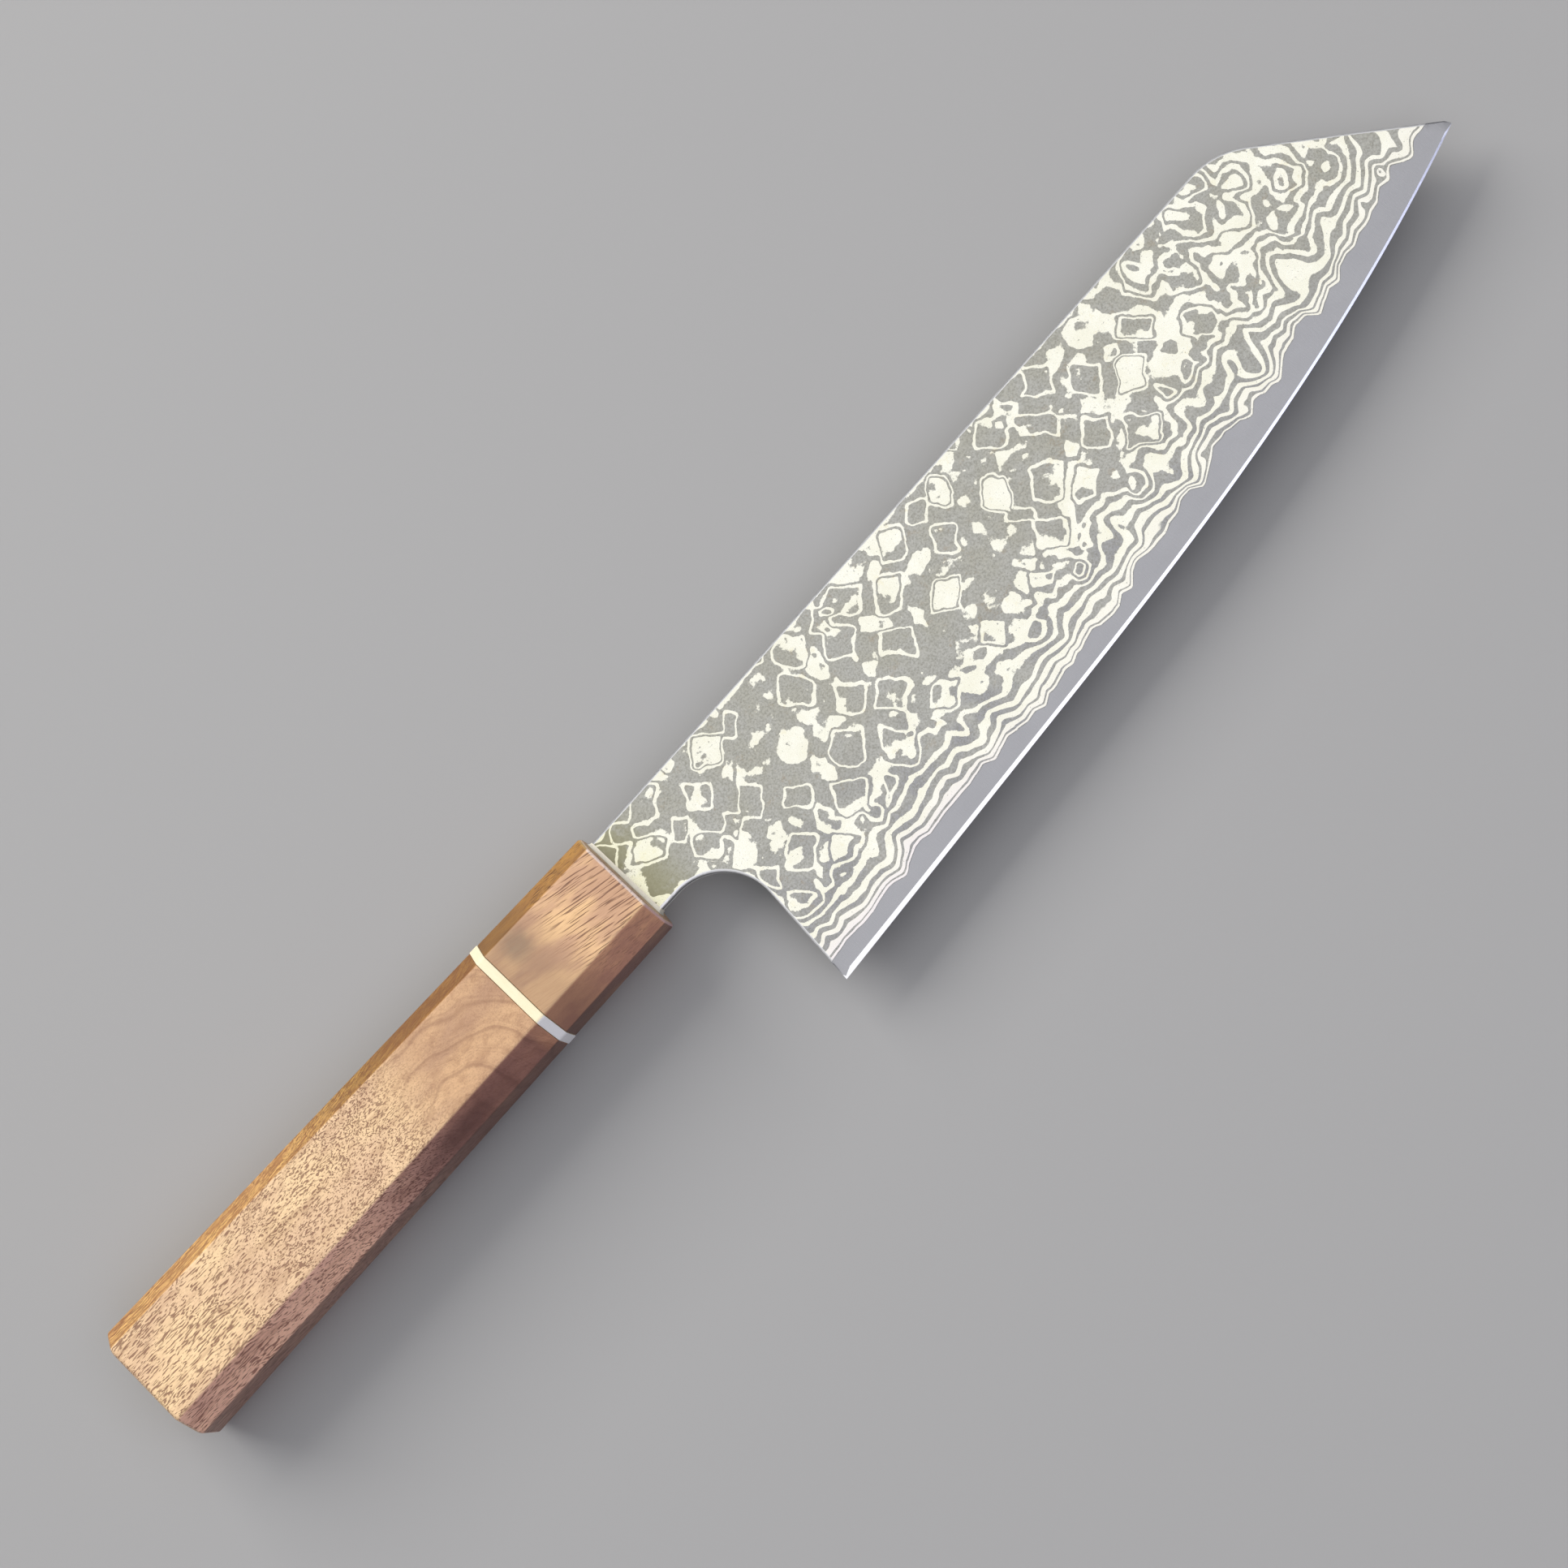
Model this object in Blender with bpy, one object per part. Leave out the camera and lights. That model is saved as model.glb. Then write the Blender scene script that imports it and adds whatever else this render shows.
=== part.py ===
"""Kitchen knife with a laminated, angled-tip blade and an octagonal walnut handle.

The design axes start where the handle's axis meets the ferrule's front face: x runs to the tip,
y to the spine and z out of the blade's right face, with z = 0 on the blade's middle plane.
The empty "knife" then lays the knife on its left side, centred over the world's origin.
"""

import math

import bmesh
import bpy
from mathutils import Matrix, Vector

MM = 0.001

FIT_GAP = 0.3 * MM      # between glued or bedded pieces
PLY_GAP = 0.1 * MM      # between the blade's plies, which are too thin for the wider gap
CUT_MARGIN = 1.0 * MM   # how far a cutter runs past the face it opens

# Blade outline
HEEL_X = 13.8 * MM
HEEL_Y = -40.1 * MM
EDGE_SLOPE = 0.076          # the straight edge behind the belly rises towards the tip
BELLY_X = 70 * MM           # where the edge starts to curve
BELLY_LENGTH = 122.2 * MM
BELLY_RISE = 10.3 * MM
BELLY_POWER = 2.73
TIP_X = 193.0 * MM
TIP_NOSE = 1.2 * MM         # the blunt last stretch at the point
SPINE_Y = 8.93 * MM         # over the ferrule's front face
SPINE_SLOPE = 0.0171
CORNER_X = 162.6 * MM       # where the spine would meet the angled back
CORNER_RADIUS = 15 * MM
NECK_BOTTOM_Y = -8.0 * MM
NECK_END_X = -1.9 * MM      # the shoulder, just inside the ferrule
CHOIL_RADIUS = 11 * MM
CHOIL_CENTRE_X = 4.7 * MM
CHOIL_SIDE_ANGLE = math.radians(-5.3)

# Blade section
SPINE_HALF = 1.35 * MM      # half thickness of the neck
TAPER_START_X = 3 * MM      # in front of the ferrule and its resin bead
TIP_HALF = 0.62 * MM
SHOULDER_HALF = 0.17 * MM   # half thickness behind the cutting bevel
BEVEL_HEIGHT = 1.0 * MM
GRIND_SLOPE = 0.0345
CLAD_LINE = 4.2 * MM        # the core steel shows this far up from the edge
CLAD_LIP = 0.05 * MM        # a ply's thickness at its lower border
CORE_SHARE = 0.4            # of the blade's thickness

# Tang
TANG_END_X = -75 * MM
TANG_WIDTH = (9.0 * MM, 5.0 * MM)       # at the shoulder, at its end
TANG_THICKNESS = (2.6 * MM, 1.8 * MM)
STUB_HALF_WIDTH = 3.0 * MM              # the core sheet's part inside the tang
STUB_END_X = -3.5 * MM

# Handle: an octagon that grows from the ferrule's front to the butt
HANDLE_LENGTH = 119.8 * MM
HALF_HEIGHT = (10.75 * MM, 12.4 * MM)   # along y, at the front, at the butt
HALF_THICKNESS = (8.7 * MM, 9.7 * MM)   # along z
FACET_Y = 3.7 * MM                      # the sloping facets' size along y and along z
FACET_Z = 5.4 * MM
RING_X = -25.8 * MM
RING_WIDTH = 1.9 * MM
RING_PROUD = 0.12 * MM
RIDGE_EASE = 0.5 * MM                   # rounding along the handle's eight ridges
FRONT_EASE = 0.7 * MM
BUTT_DOME = 1.3 * MM                    # how far the butt bulges past its rim
BUTT_INSET = 3.0 * MM                   # how far in from the facets the bulge ends
BUTT_STEPS = 4

# Dowel and bedding
DOWEL_RADIUS = 6.5 * MM
DOWEL_X = (-2.4 * MM, -88 * MM)
DOWEL_EASE = 0.6 * MM
FRONT_WALL = 2.0 * MM                   # the ferrule's wall in front of the dowel
SLOT_DEPTH = 2.5 * MM
POCKET_HEIGHT = 10.6 * MM
POCKET_THICKNESS = 4.8 * MM
POCKET_END_X = -78 * MM
SEAL_LENGTH = 0.8 * MM
SEAL_FOOT = 0.8 * MM                    # how far the resin bead spreads over the ferrule
SEAL_LIP = 0.2 * MM

# Colours are linear red, green, blue
CORE_STEEL = ("core_steel", (0.42, 0.42, 0.46), 0.28, 1.0)
CLAD_STEEL = ("patterned_steel", (0.36, 0.36, 0.33), 0.34, 1.0)
WALNUT = ("walnut", (0.42, 0.22, 0.12), 0.5, 0.0)
PALE_SPACER = ("pale_spacer", (0.80, 0.74, 0.60), 0.35, 0.0)
DOWEL_WOOD = ("dowel_wood", (0.55, 0.38, 0.22), 0.6, 0.0)
RESIN = ("resin", (0.62, 0.58, 0.42), 0.4, 0.0)


def clear_scene():
    for leftover in list(bpy.data.objects):
        bpy.data.objects.remove(leftover)


def add_object(name, bm, frame, finish=None):
    """Turn a bmesh into an object under the knife's frame, with its own material."""
    bmesh.ops.recalc_face_normals(bm, faces=bm.faces)
    mesh = bpy.data.meshes.new(name)
    bm.to_mesh(mesh)
    bm.free()
    made = bpy.data.objects.new(name, mesh)
    bpy.context.scene.collection.objects.link(made)
    made.parent = frame
    if finish:
        material_name, colour, roughness, metallic = finish
        material = bpy.data.materials.new(f"{material_name}_{name}")
        material.use_nodes = True
        shader = material.node_tree.nodes["Principled BSDF"]
        shader.inputs["Base Color"].default_value = (*colour, 1.0)
        shader.inputs["Roughness"].default_value = roughness
        shader.inputs["Metallic"].default_value = metallic
        mesh.materials.append(material)
    return made


def add_boolean(target, tool, operation):
    """Cut target with tool, join them or keep what they share; the tool itself stays out of the model."""
    tool.hide_render = True
    tool.display_type = "WIRE"
    boolean = target.modifiers.new(tool.name, "BOOLEAN")
    boolean.operation = operation
    boolean.solver = "EXACT"
    boolean.object = tool


def loft(bm, sections):
    """Join closed sections of equal length with faces, and close both ends."""
    rings = [[bm.verts.new(point) for point in section] for section in sections]
    count = len(rings[0])
    for here, there in zip(rings, rings[1:]):
        for i in range(count):
            bm.faces.new((here[i], here[(i + 1) % count], there[(i + 1) % count], there[i]))
    bm.faces.new(rings[0])
    bm.faces.new(rings[-1])


def mix(ends, share):
    return ends[0] + (ends[1] - ends[0]) * share


def box_section(x, centre_y, half_y, half_z):
    """A rectangle across the x axis."""
    corners = ((1, 1), (-1, 1), (-1, -1), (1, -1))
    return [Vector((x, centre_y + side_y * half_y, side_z * half_z)) for side_y, side_z in corners]


# ---------------------------------------------------------------- blade

def edge_y(x):
    """Height of the cutting edge: straight, then a belly that curves up to the point."""
    along_belly = max(0.0, x - BELLY_X) / BELLY_LENGTH
    return HEEL_Y + EDGE_SLOPE * (x - HEEL_X) + BELLY_RISE * along_belly ** BELLY_POWER


def spine_y(x):
    return SPINE_Y + SPINE_SLOPE * x


def spine_half(x):
    """Half thickness of the flat upper blade: even along the neck, then thinning to the tip."""
    along_taper = max(0.0, x - TAPER_START_X) / (TIP_X - TAPER_START_X)
    return mix((SPINE_HALF, TIP_HALF), along_taper)


def ground_half(height):
    """Half thickness of the ground lower blade, at a height above the edge."""
    return SHOULDER_HALF + GRIND_SLOPE * (height - BEVEL_HEIGHT)


def grind_top(x):
    """Height above the edge where the ground face meets the flat one."""
    return BEVEL_HEIGHT + (spine_half(x) - SHOULDER_HALF) / GRIND_SLOPE


def arc(centre_x, centre_y, radius, start, end, steps):
    """Points on an arc, from one angle to another."""
    points = []
    for i in range(steps + 1):
        angle = mix((start, end), i / steps)
        points.append((centre_x + radius * math.cos(angle), centre_y + radius * math.sin(angle)))
    return points


def corner_arc(back_angle, steps):
    """The rounded corner between the angled back and the spine, as an arc tangent to both."""
    spine_angle = math.atan(SPINE_SLOPE)
    half_turn = (spine_angle - back_angle) / 2
    reach = CORNER_RADIUS * math.tan(half_turn)
    start_x = CORNER_X - reach * math.cos(spine_angle)
    centre_x = start_x + CORNER_RADIUS * math.sin(spine_angle)
    centre_y = spine_y(start_x) - CORNER_RADIUS * math.cos(spine_angle)
    quarter = math.pi / 2
    return arc(centre_x, centre_y, CORNER_RADIUS, quarter + back_angle, quarter + spine_angle, steps)


def blade_outline(with_stub):
    """Neck, choil, heel, tip and spine; the side along the edge stays open well below it."""
    below_edge = HEEL_Y - 10 * MM
    choil_centre_y = NECK_BOTTOM_Y - CHOIL_RADIUS
    choil = arc(CHOIL_CENTRE_X, choil_centre_y, CHOIL_RADIUS, math.pi / 2, CHOIL_SIDE_ANGLE, 14)
    heel_drop = below_edge - choil[-1][1]
    below_heel = (choil[-1][0] - heel_drop * math.tan(CHOIL_SIDE_ANGLE), below_edge)
    tip_y = edge_y(TIP_X)
    nose = (TIP_X - TIP_NOSE / 2, tip_y + TIP_NOSE)
    back_angle = math.atan2(nose[1] - spine_y(CORNER_X), nose[0] - CORNER_X)
    outline = [(NECK_END_X, NECK_BOTTOM_Y)]
    outline += choil
    outline += [below_heel, (TIP_X + 10 * MM, below_edge), (TIP_X, tip_y), nose]
    outline += corner_arc(back_angle, 8)
    outline.append((NECK_END_X, spine_y(NECK_END_X)))
    if with_stub:
        stub = STUB_HALF_WIDTH
        outline += [(NECK_END_X, stub), (STUB_END_X, stub), (STUB_END_X, -stub), (NECK_END_X, -stub)]
    return outline


def add_profile(name, frame, with_stub):
    """The blade's outline as an upright block, which trims a ply to shape."""
    half_depth = 2 * SPINE_HALF
    bm = bmesh.new()
    bottom = bm.faces.new([bm.verts.new((x, y, -half_depth)) for x, y in blade_outline(with_stub)])
    raised = bmesh.ops.extrude_face_region(bm, geom=[bottom])
    top = [element for element in raised["geom"] if isinstance(element, bmesh.types.BMVert)]
    bmesh.ops.translate(bm, verts=top, vec=(0, 0, 2 * half_depth))
    return add_object(name, bm, frame)


def blade_stations():
    """Places along the blade: few where it is straight, close together along the belly."""
    belly_step = 6 * MM
    count = math.ceil((TIP_X + CUT_MARGIN - BELLY_X) / belly_step)
    straight = [STUB_END_X - CUT_MARGIN, TAPER_START_X, BELLY_X]
    return straight + [BELLY_X + belly_step * (i + 1) for i in range(count)]


def core_section(x):
    """Half of the core's section, from above the spine down to the edge."""
    edge = edge_y(x)
    core_half = CORE_SHARE * spine_half(x)
    band_half = ground_half(CLAD_LINE)
    return [
        (spine_y(x) + CUT_MARGIN, core_half),
        (edge + grind_top(x), core_half),
        (edge + CLAD_LINE, band_half - CLAD_LIP - PLY_GAP),
        (edge + CLAD_LINE, band_half),
        (edge + BEVEL_HEIGHT, SHOULDER_HALF),
    ]


def add_blade_core(frame):
    """Core steel: a thin sheet under the cladding, bare near the edge, with the tang forged on."""
    sections = []
    for x in blade_stations():
        half = core_section(x)
        right = [Vector((x, y, z)) for y, z in half]
        left = [Vector((x, y, -z)) for y, z in reversed(half)]
        sections.append(right + [Vector((x, edge_y(x), 0))] + left)
    bm = bmesh.new()
    loft(bm, sections)
    core = add_object("blade_core", bm, frame, CORE_STEEL)
    add_boolean(core, add_profile("core_profile", frame, with_stub=True), "INTERSECT")
    add_boolean(core, add_tang_bar("tang", frame, 0.0, NECK_END_X, TANG_END_X), "UNION")
    return core


def add_cladding(name, frame, side):
    """One patterned outer ply; side is 1 for the right face and -1 for the left."""
    sections = []
    start = CLAD_LINE + PLY_GAP
    for x in blade_stations():
        edge = edge_y(x)
        core_half = CORE_SHARE * spine_half(x)
        top = spine_y(x) + CUT_MARGIN
        section = [
            (top, spine_half(x)),
            (edge + grind_top(x), spine_half(x)),
            (edge + start, ground_half(start)),
            (edge + start, ground_half(CLAD_LINE) - CLAD_LIP),
            (edge + grind_top(x), core_half + PLY_GAP),
            (top, core_half + PLY_GAP),
        ]
        sections.append([Vector((x, y, side * z)) for y, z in section])
    bm = bmesh.new()
    loft(bm, sections)
    ply = add_object(name, bm, frame, CLAD_STEEL)
    add_boolean(ply, add_profile(f"{name}_profile", frame, with_stub=False), "INTERSECT")
    return ply


def add_tang_bar(name, frame, clearance, x_front, x_back):
    """The tapering tang, or with a clearance the space round it."""
    bm = bmesh.new()
    sections = []
    for x in (x_front, x_back):
        share = (x - NECK_END_X) / (TANG_END_X - NECK_END_X)
        half_width = mix(TANG_WIDTH, share) / 2 + clearance
        half_thickness = mix(TANG_THICKNESS, share) / 2 + clearance
        sections.append(box_section(x, 0, half_width, half_thickness))
    loft(bm, sections)
    return add_object(name, bm, frame)


# ---------------------------------------------------------------- handle

def octagon(x, proud=0.0):
    """The handle's section at x, counted along its taper; proud moves all eight sides outwards."""
    share = -x / HANDLE_LENGTH
    high = mix(HALF_HEIGHT, share) + proud
    thick = mix(HALF_THICKNESS, share) + proud
    slant = math.hypot(FACET_Y, FACET_Z)
    facet = 1 + proud * (FACET_Y + FACET_Z - slant) / (FACET_Y * FACET_Z)
    quarter = [(high, thick - FACET_Z * facet), (high - FACET_Y * facet, thick)]
    upper = quarter + [(-y, z) for y, z in reversed(quarter)]
    lower = [(-y, -z) for y, z in upper]
    return [Vector((x, y, z)) for y, z in upper + lower]


def bevel_edges(bm, wanted, width, segments):
    """Round the edges whose two ends both pass the test."""
    edges = [edge for edge in bm.edges if wanted(edge)]
    bmesh.ops.bevel(bm, geom=edges, offset=width, segments=segments, profile=0.5, affect="EDGES")


def butt_sections():
    """The handle's last sections, which draw in to the domed butt."""
    sections = []
    for step in range(BUTT_STEPS + 1):
        turn = math.pi / 2 * step / BUTT_STEPS
        x = -HANDLE_LENGTH + BUTT_DOME * (1 - math.sin(turn))
        sections.append(octagon(x, -BUTT_INSET * (1 - math.cos(turn))))
    return sections


def add_octagonal_piece(name, frame, finish, sections, front_ease=0.0):
    """A length of the octagonal handle with eased ridges and, where asked, an eased front rim."""
    bm = bmesh.new()
    loft(bm, sections)
    small = MM / 100
    bevel_edges(bm, lambda edge: abs(edge.verts[0].co.x - edge.verts[1].co.x) > small, RIDGE_EASE, 2)
    if front_ease:
        front = sections[0][0].x
        bevel_edges(bm, lambda edge: all(abs(v.co.x - front) < small for v in edge.verts), front_ease, 3)
    return add_object(name, bm, frame, finish)


def cylinder_mesh(radius, x_front, x_back, sides=48):
    """A cylinder along the handle's axis."""
    bm = bmesh.new()
    length = x_front - x_back
    place = Matrix.Translation(((x_front + x_back) / 2, 0, 0)) @ Matrix.Rotation(math.pi / 2, 4, "Y")
    bmesh.ops.create_cone(
        bm, cap_ends=True, segments=sides, radius1=radius, radius2=radius, depth=length, matrix=place
    )
    return bm


def add_bore(target, frame, x_front, x_back):
    """Open a bore for the dowel through a piece of the handle."""
    cutter = add_object(f"{target.name}_bore", cylinder_mesh(DOWEL_RADIUS + FIT_GAP, x_front, x_back), frame)
    add_boolean(target, cutter, "DIFFERENCE")


def add_block(name, frame, x_front, x_back, centre_y, half_y, half_z, finish=None):
    bm = bmesh.new()
    loft(bm, [box_section(x, centre_y, half_y, half_z) for x in (x_front, x_back)])
    return add_object(name, bm, frame, finish)


def neck_centre_and_half():
    """Middle and half height of the blade's neck at the ferrule's front face."""
    return (SPINE_Y + NECK_BOTTOM_Y) / 2, (SPINE_Y - NECK_BOTTOM_Y) / 2


def add_ferrule(frame):
    """Walnut front piece: the neck enters a slot in its face, the dowel a bore from behind."""
    back = RING_X + FIT_GAP
    ferrule = add_octagonal_piece("ferrule", frame, WALNUT, [octagon(0), octagon(back)], FRONT_EASE)
    add_bore(ferrule, frame, -FRONT_WALL, back - CUT_MARGIN)
    centre, half = neck_centre_and_half()
    slot = add_block(
        "ferrule_slot", frame, CUT_MARGIN, -SLOT_DEPTH, centre, half + FIT_GAP, SPINE_HALF + FIT_GAP
    )
    add_boolean(ferrule, slot, "DIFFERENCE")


def add_spacer_ring(frame):
    """Thin pale ring, a touch proud of the wood on both sides of it."""
    back = RING_X - RING_WIDTH
    sections = [octagon(x, RING_PROUD) for x in (RING_X, back)]
    ring = add_octagonal_piece("spacer_ring", frame, PALE_SPACER, sections)
    add_bore(ring, frame, RING_X + CUT_MARGIN, back - CUT_MARGIN)


def add_handle_body(frame):
    """Walnut handle, bored from its front, with a softly domed butt."""
    front = RING_X - RING_WIDTH - FIT_GAP
    body = add_octagonal_piece("handle_body", frame, WALNUT, [octagon(front), *butt_sections()])
    add_bore(body, frame, front + CUT_MARGIN, DOWEL_X[1] - FIT_GAP)


def add_handle_dowel(frame):
    """Round dowel through ferrule, ring and body, with a pocket for the bedded tang."""
    front, back = DOWEL_X
    bm = cylinder_mesh(DOWEL_RADIUS, front, back)
    bevel_edges(bm, lambda edge: abs(edge.verts[0].co.x - edge.verts[1].co.x) < MM, DOWEL_EASE, 1)
    dowel = add_object("handle_dowel", bm, frame, DOWEL_WOOD)
    dowel.data.shade_smooth()
    dowel.data.set_sharp_from_angle(angle=math.radians(40))
    half_y = POCKET_HEIGHT / 2
    half_z = POCKET_THICKNESS / 2
    pocket = add_block("dowel_pocket", frame, front + CUT_MARGIN, POCKET_END_X, 0, half_y, half_z)
    add_boolean(dowel, pocket, "DIFFERENCE")


def add_tang_bedding(frame):
    """Resin that fills the dowel's pocket round the tang."""
    front = DOWEL_X[0] - FIT_GAP
    back = POCKET_END_X + FIT_GAP
    half_y = POCKET_HEIGHT / 2 - FIT_GAP
    half_z = POCKET_THICKNESS / 2 - FIT_GAP
    bedding = add_block("tang_bedding", frame, front, back, 0, half_y, half_z, RESIN)
    hollow = add_tang_bar("tang_hollow", frame, FIT_GAP, front + CUT_MARGIN, TANG_END_X - FIT_GAP)
    add_boolean(bedding, hollow, "DIFFERENCE")


def add_tang_seal(frame):
    """Pale bead of resin round the neck, wide where it meets the ferrule and thin on the steel."""
    centre, half = neck_centre_and_half()
    at_ferrule = FIT_GAP
    on_steel = FIT_GAP + SEAL_LENGTH
    bm = bmesh.new()
    rings = []
    for x, reach in ((at_ferrule, SEAL_FOOT), (on_steel, SEAL_LIP), (on_steel, 0), (at_ferrule, 0)):
        spread = FIT_GAP + reach
        rings.append([bm.verts.new(p) for p in box_section(x, centre, half + spread, SPINE_HALF + spread)])
    for here, there in zip(rings, rings[1:] + rings[:1]):
        for i in range(4):
            bm.faces.new((here[i], here[(i + 1) % 4], there[(i + 1) % 4], there[i]))
    add_object("tang_seal", bm, frame, RESIN)


def main():
    clear_scene()
    frame = bpy.data.objects.new("knife", None)
    bpy.context.scene.collection.objects.link(frame)
    full_size = 1 - BUTT_DOME / HANDLE_LENGTH       # where the butt's dome starts
    middle_x = (TIP_X - HANDLE_LENGTH) / 2
    middle_y = (mix(HALF_HEIGHT, full_size) + HEEL_Y) / 2
    frame.location = (-middle_x, -middle_y, mix(HALF_THICKNESS, full_size))
    add_blade_core(frame)
    add_cladding("cladding_right", frame, 1)
    add_cladding("cladding_left", frame, -1)
    add_ferrule(frame)
    add_spacer_ring(frame)
    add_handle_body(frame)
    add_handle_dowel(frame)
    add_tang_bedding(frame)
    add_tang_seal(frame)


main()
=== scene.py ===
import math

import bpy
import numpy as np
from mathutils import Matrix, Vector
from mathutils.geometry import delaunay_2d_cdt


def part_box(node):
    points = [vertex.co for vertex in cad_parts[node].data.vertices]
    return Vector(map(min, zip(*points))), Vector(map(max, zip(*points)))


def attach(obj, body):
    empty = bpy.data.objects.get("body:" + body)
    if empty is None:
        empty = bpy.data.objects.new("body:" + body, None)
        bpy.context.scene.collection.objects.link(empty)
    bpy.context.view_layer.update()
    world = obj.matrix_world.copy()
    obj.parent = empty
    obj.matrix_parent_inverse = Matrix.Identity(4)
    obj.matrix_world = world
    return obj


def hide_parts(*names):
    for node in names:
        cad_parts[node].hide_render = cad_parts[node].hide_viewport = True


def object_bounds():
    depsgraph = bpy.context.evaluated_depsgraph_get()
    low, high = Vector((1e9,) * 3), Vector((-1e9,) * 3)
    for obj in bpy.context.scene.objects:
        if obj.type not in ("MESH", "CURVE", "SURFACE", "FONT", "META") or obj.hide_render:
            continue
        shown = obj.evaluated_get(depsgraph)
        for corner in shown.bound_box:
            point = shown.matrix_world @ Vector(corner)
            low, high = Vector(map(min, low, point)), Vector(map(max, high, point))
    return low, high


# Looks of a kitchen knife: a laminated, angled-tip blade and an octagonal walnut handle.
# Design lengths are in millimetres. The design axes start where the handle's axis meets the
# ferrule's front face: x runs to the tip, y to the spine and z out of the blade's right face.

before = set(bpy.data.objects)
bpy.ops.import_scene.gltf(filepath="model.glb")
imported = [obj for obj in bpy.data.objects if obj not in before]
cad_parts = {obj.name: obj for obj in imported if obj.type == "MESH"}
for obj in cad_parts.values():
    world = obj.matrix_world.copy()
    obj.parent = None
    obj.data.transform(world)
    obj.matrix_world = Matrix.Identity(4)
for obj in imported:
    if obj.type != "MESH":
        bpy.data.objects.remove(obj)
CAD_LOW, CAD_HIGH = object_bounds()

MM = 0.001
RIGHT, LEFT = 1, -1
FERRULE_LOW, FERRULE_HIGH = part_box("ferrule")
ORIGIN = np.array((
    FERRULE_HIGH.x,
    (FERRULE_LOW.y + FERRULE_HIGH.y) / 2,
    (FERRULE_LOW.z + FERRULE_HIGH.z) / 2,
))

# Blade outline
HEEL_X, HEEL_Y = 13.8, -40.1
EDGE_SLOPE = 0.076
BELLY_X, BELLY_LENGTH, BELLY_RISE, BELLY_POWER = 70.0, 122.2, 10.3, 2.73
TIP_X, TIP_NOSE = (CAD_HIGH.x - ORIGIN[0]) / MM, 1.2
SPINE_Y, SPINE_SLOPE = 8.93, 0.0171
CORNER_X, CORNER_RADIUS = 162.6, 15.0
NECK_BOTTOM_Y, NECK_END_X = -8.0, -1.9
CHOIL_RADIUS, CHOIL_CENTRE_X = 11.0, 4.7
CHOIL_SIDE_ANGLE = math.radians(-5.3)

# Blade section
SPINE_HALF, TIP_HALF = 1.35, 0.62
TAPER_START_X = 3.0         # in front of the resin bead
SHOULDER_HALF, BEVEL_HEIGHT, TIP_BEVEL = 0.17, 1.0, 0.35
BEVEL_NARROWING = 0.6       # under 1, the bevel narrows fastest near the heel
GRIND_SLOPE, GRIND_BLEND = 0.0345, 0.06
CLAD_LINE = 4.2             # the core's mean exposed height
CLAD_LIP = 0.05             # a ply's thickness where it starts
CLAD_GROOVE = 0.03
CORE_SHARE = 0.4            # of the blade's thickness
PLY_GAP = 0.01
RIM_EASE_WIDTH, RIM_EASE_DEPTH = 0.4, 0.13
RIM_EASE_SHARE = 0.4        # the most that easing takes off the half thickness

# Mesh spacing
PATTERN_STEP, CORE_STEP, PLANE_STEP = 0.33, 2.0, 4.0
RIM_STEP = 0.5
RIM_RINGS = (0.07, 0.14, 0.22, 0.31, 0.4)   # mesh lines, in from the rims
RIM_CLEAR, SHOULDER_CLEAR, LINE_CLEAR, PLANE_CLEAR = 0.02, 0.2, 0.3, 1.0
BORDER_CLEAR, NECK_CLEAR = 0.45 * PATTERN_STEP, 0.4 * PATTERN_STEP
FIRST_RING_CLEAR = min(RIM_RINGS) * 0.95
ON_SHOULDER = 0.01          # nearer than this counts as on it
MERGE_DISTANCE = 1e-5

# Tang
TANG_END_X = -75.0
TANG_WIDTH = (9.0, 5.0)
TANG_THICKNESS = (2.6, 1.8)

# Handle
HANDLE_LENGTH = 119.8
HALF_HEIGHT = (10.75, 12.4)
HALF_THICKNESS = (8.7, 9.7)
FACET_Y, FACET_Z = 3.7, 5.4
RING_X, RING_WIDTH, RING_PROUD = -25.8, 1.9, 0.12
GLUE_LINE, GLUE_EASE = 0.08, 0.1
RIDGE_EASE, FRONT_EASE = 0.5, 0.7
RIDGE_STEPS, RIDGE_SUPPORT = 5, 0.3     # the support point's share of the easing
RING_SUPPORT = 0.15                     # from a rounded end to the next ring
END_MARGIN = 1.0                        # from an end to the evenly spaced rings
BODY_RINGS, FERRULE_RINGS = 24, 8
GLUE_STEPS, FRONT_STEPS, BUTT_STEPS = 2, 6, 10
BUTT_DOME, BUTT_INSET = 1.3, 3.0
BORE_RADIUS, FERRULE_WALL, BODY_BORE_X = 6.8, 2.0, -88.3
SLOT_DEPTH, SLOT_GAP = 2.5, 0.1
SPACER_EASE, SPACER_STEPS, SPACER_SUPPORT = 0.15, 3, 0.1
SEAL_LENGTH, SEAL_FOOT, SEAL_LIP, SEAL_GAP = 0.75, 0.7, 0.12, 0.02
SEAL_STEPS, SEAL_TURN_STEPS = 6, 5

QUARTER_TURN = math.pi / 2
SHARP_ANGLE = math.radians(40)
CORNERS = ((1, 1), (-1, 1), (-1, -1), (1, -1))


# ---- small helpers

def mix(ends, share):
    return ends[0] + (ends[1] - ends[0]) * share


def smooth(value):
    """Smooth step from 0 to 1."""
    value = np.clip(value, 0, 1)
    return value * value * (3 - 2 * value)


def ramp(value, low, high):
    """Smooth step from 0 at low to 1 at high."""
    return smooth((value - low) / (high - low))


def soft_min(a, b, blend):
    """Minimum of two surfaces with a rounded valley between them."""
    share = np.clip(0.5 + 0.5 * (b - a) / blend, 0, 1)
    return b * (1 - share) + a * share - blend * share * (1 - share)


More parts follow.
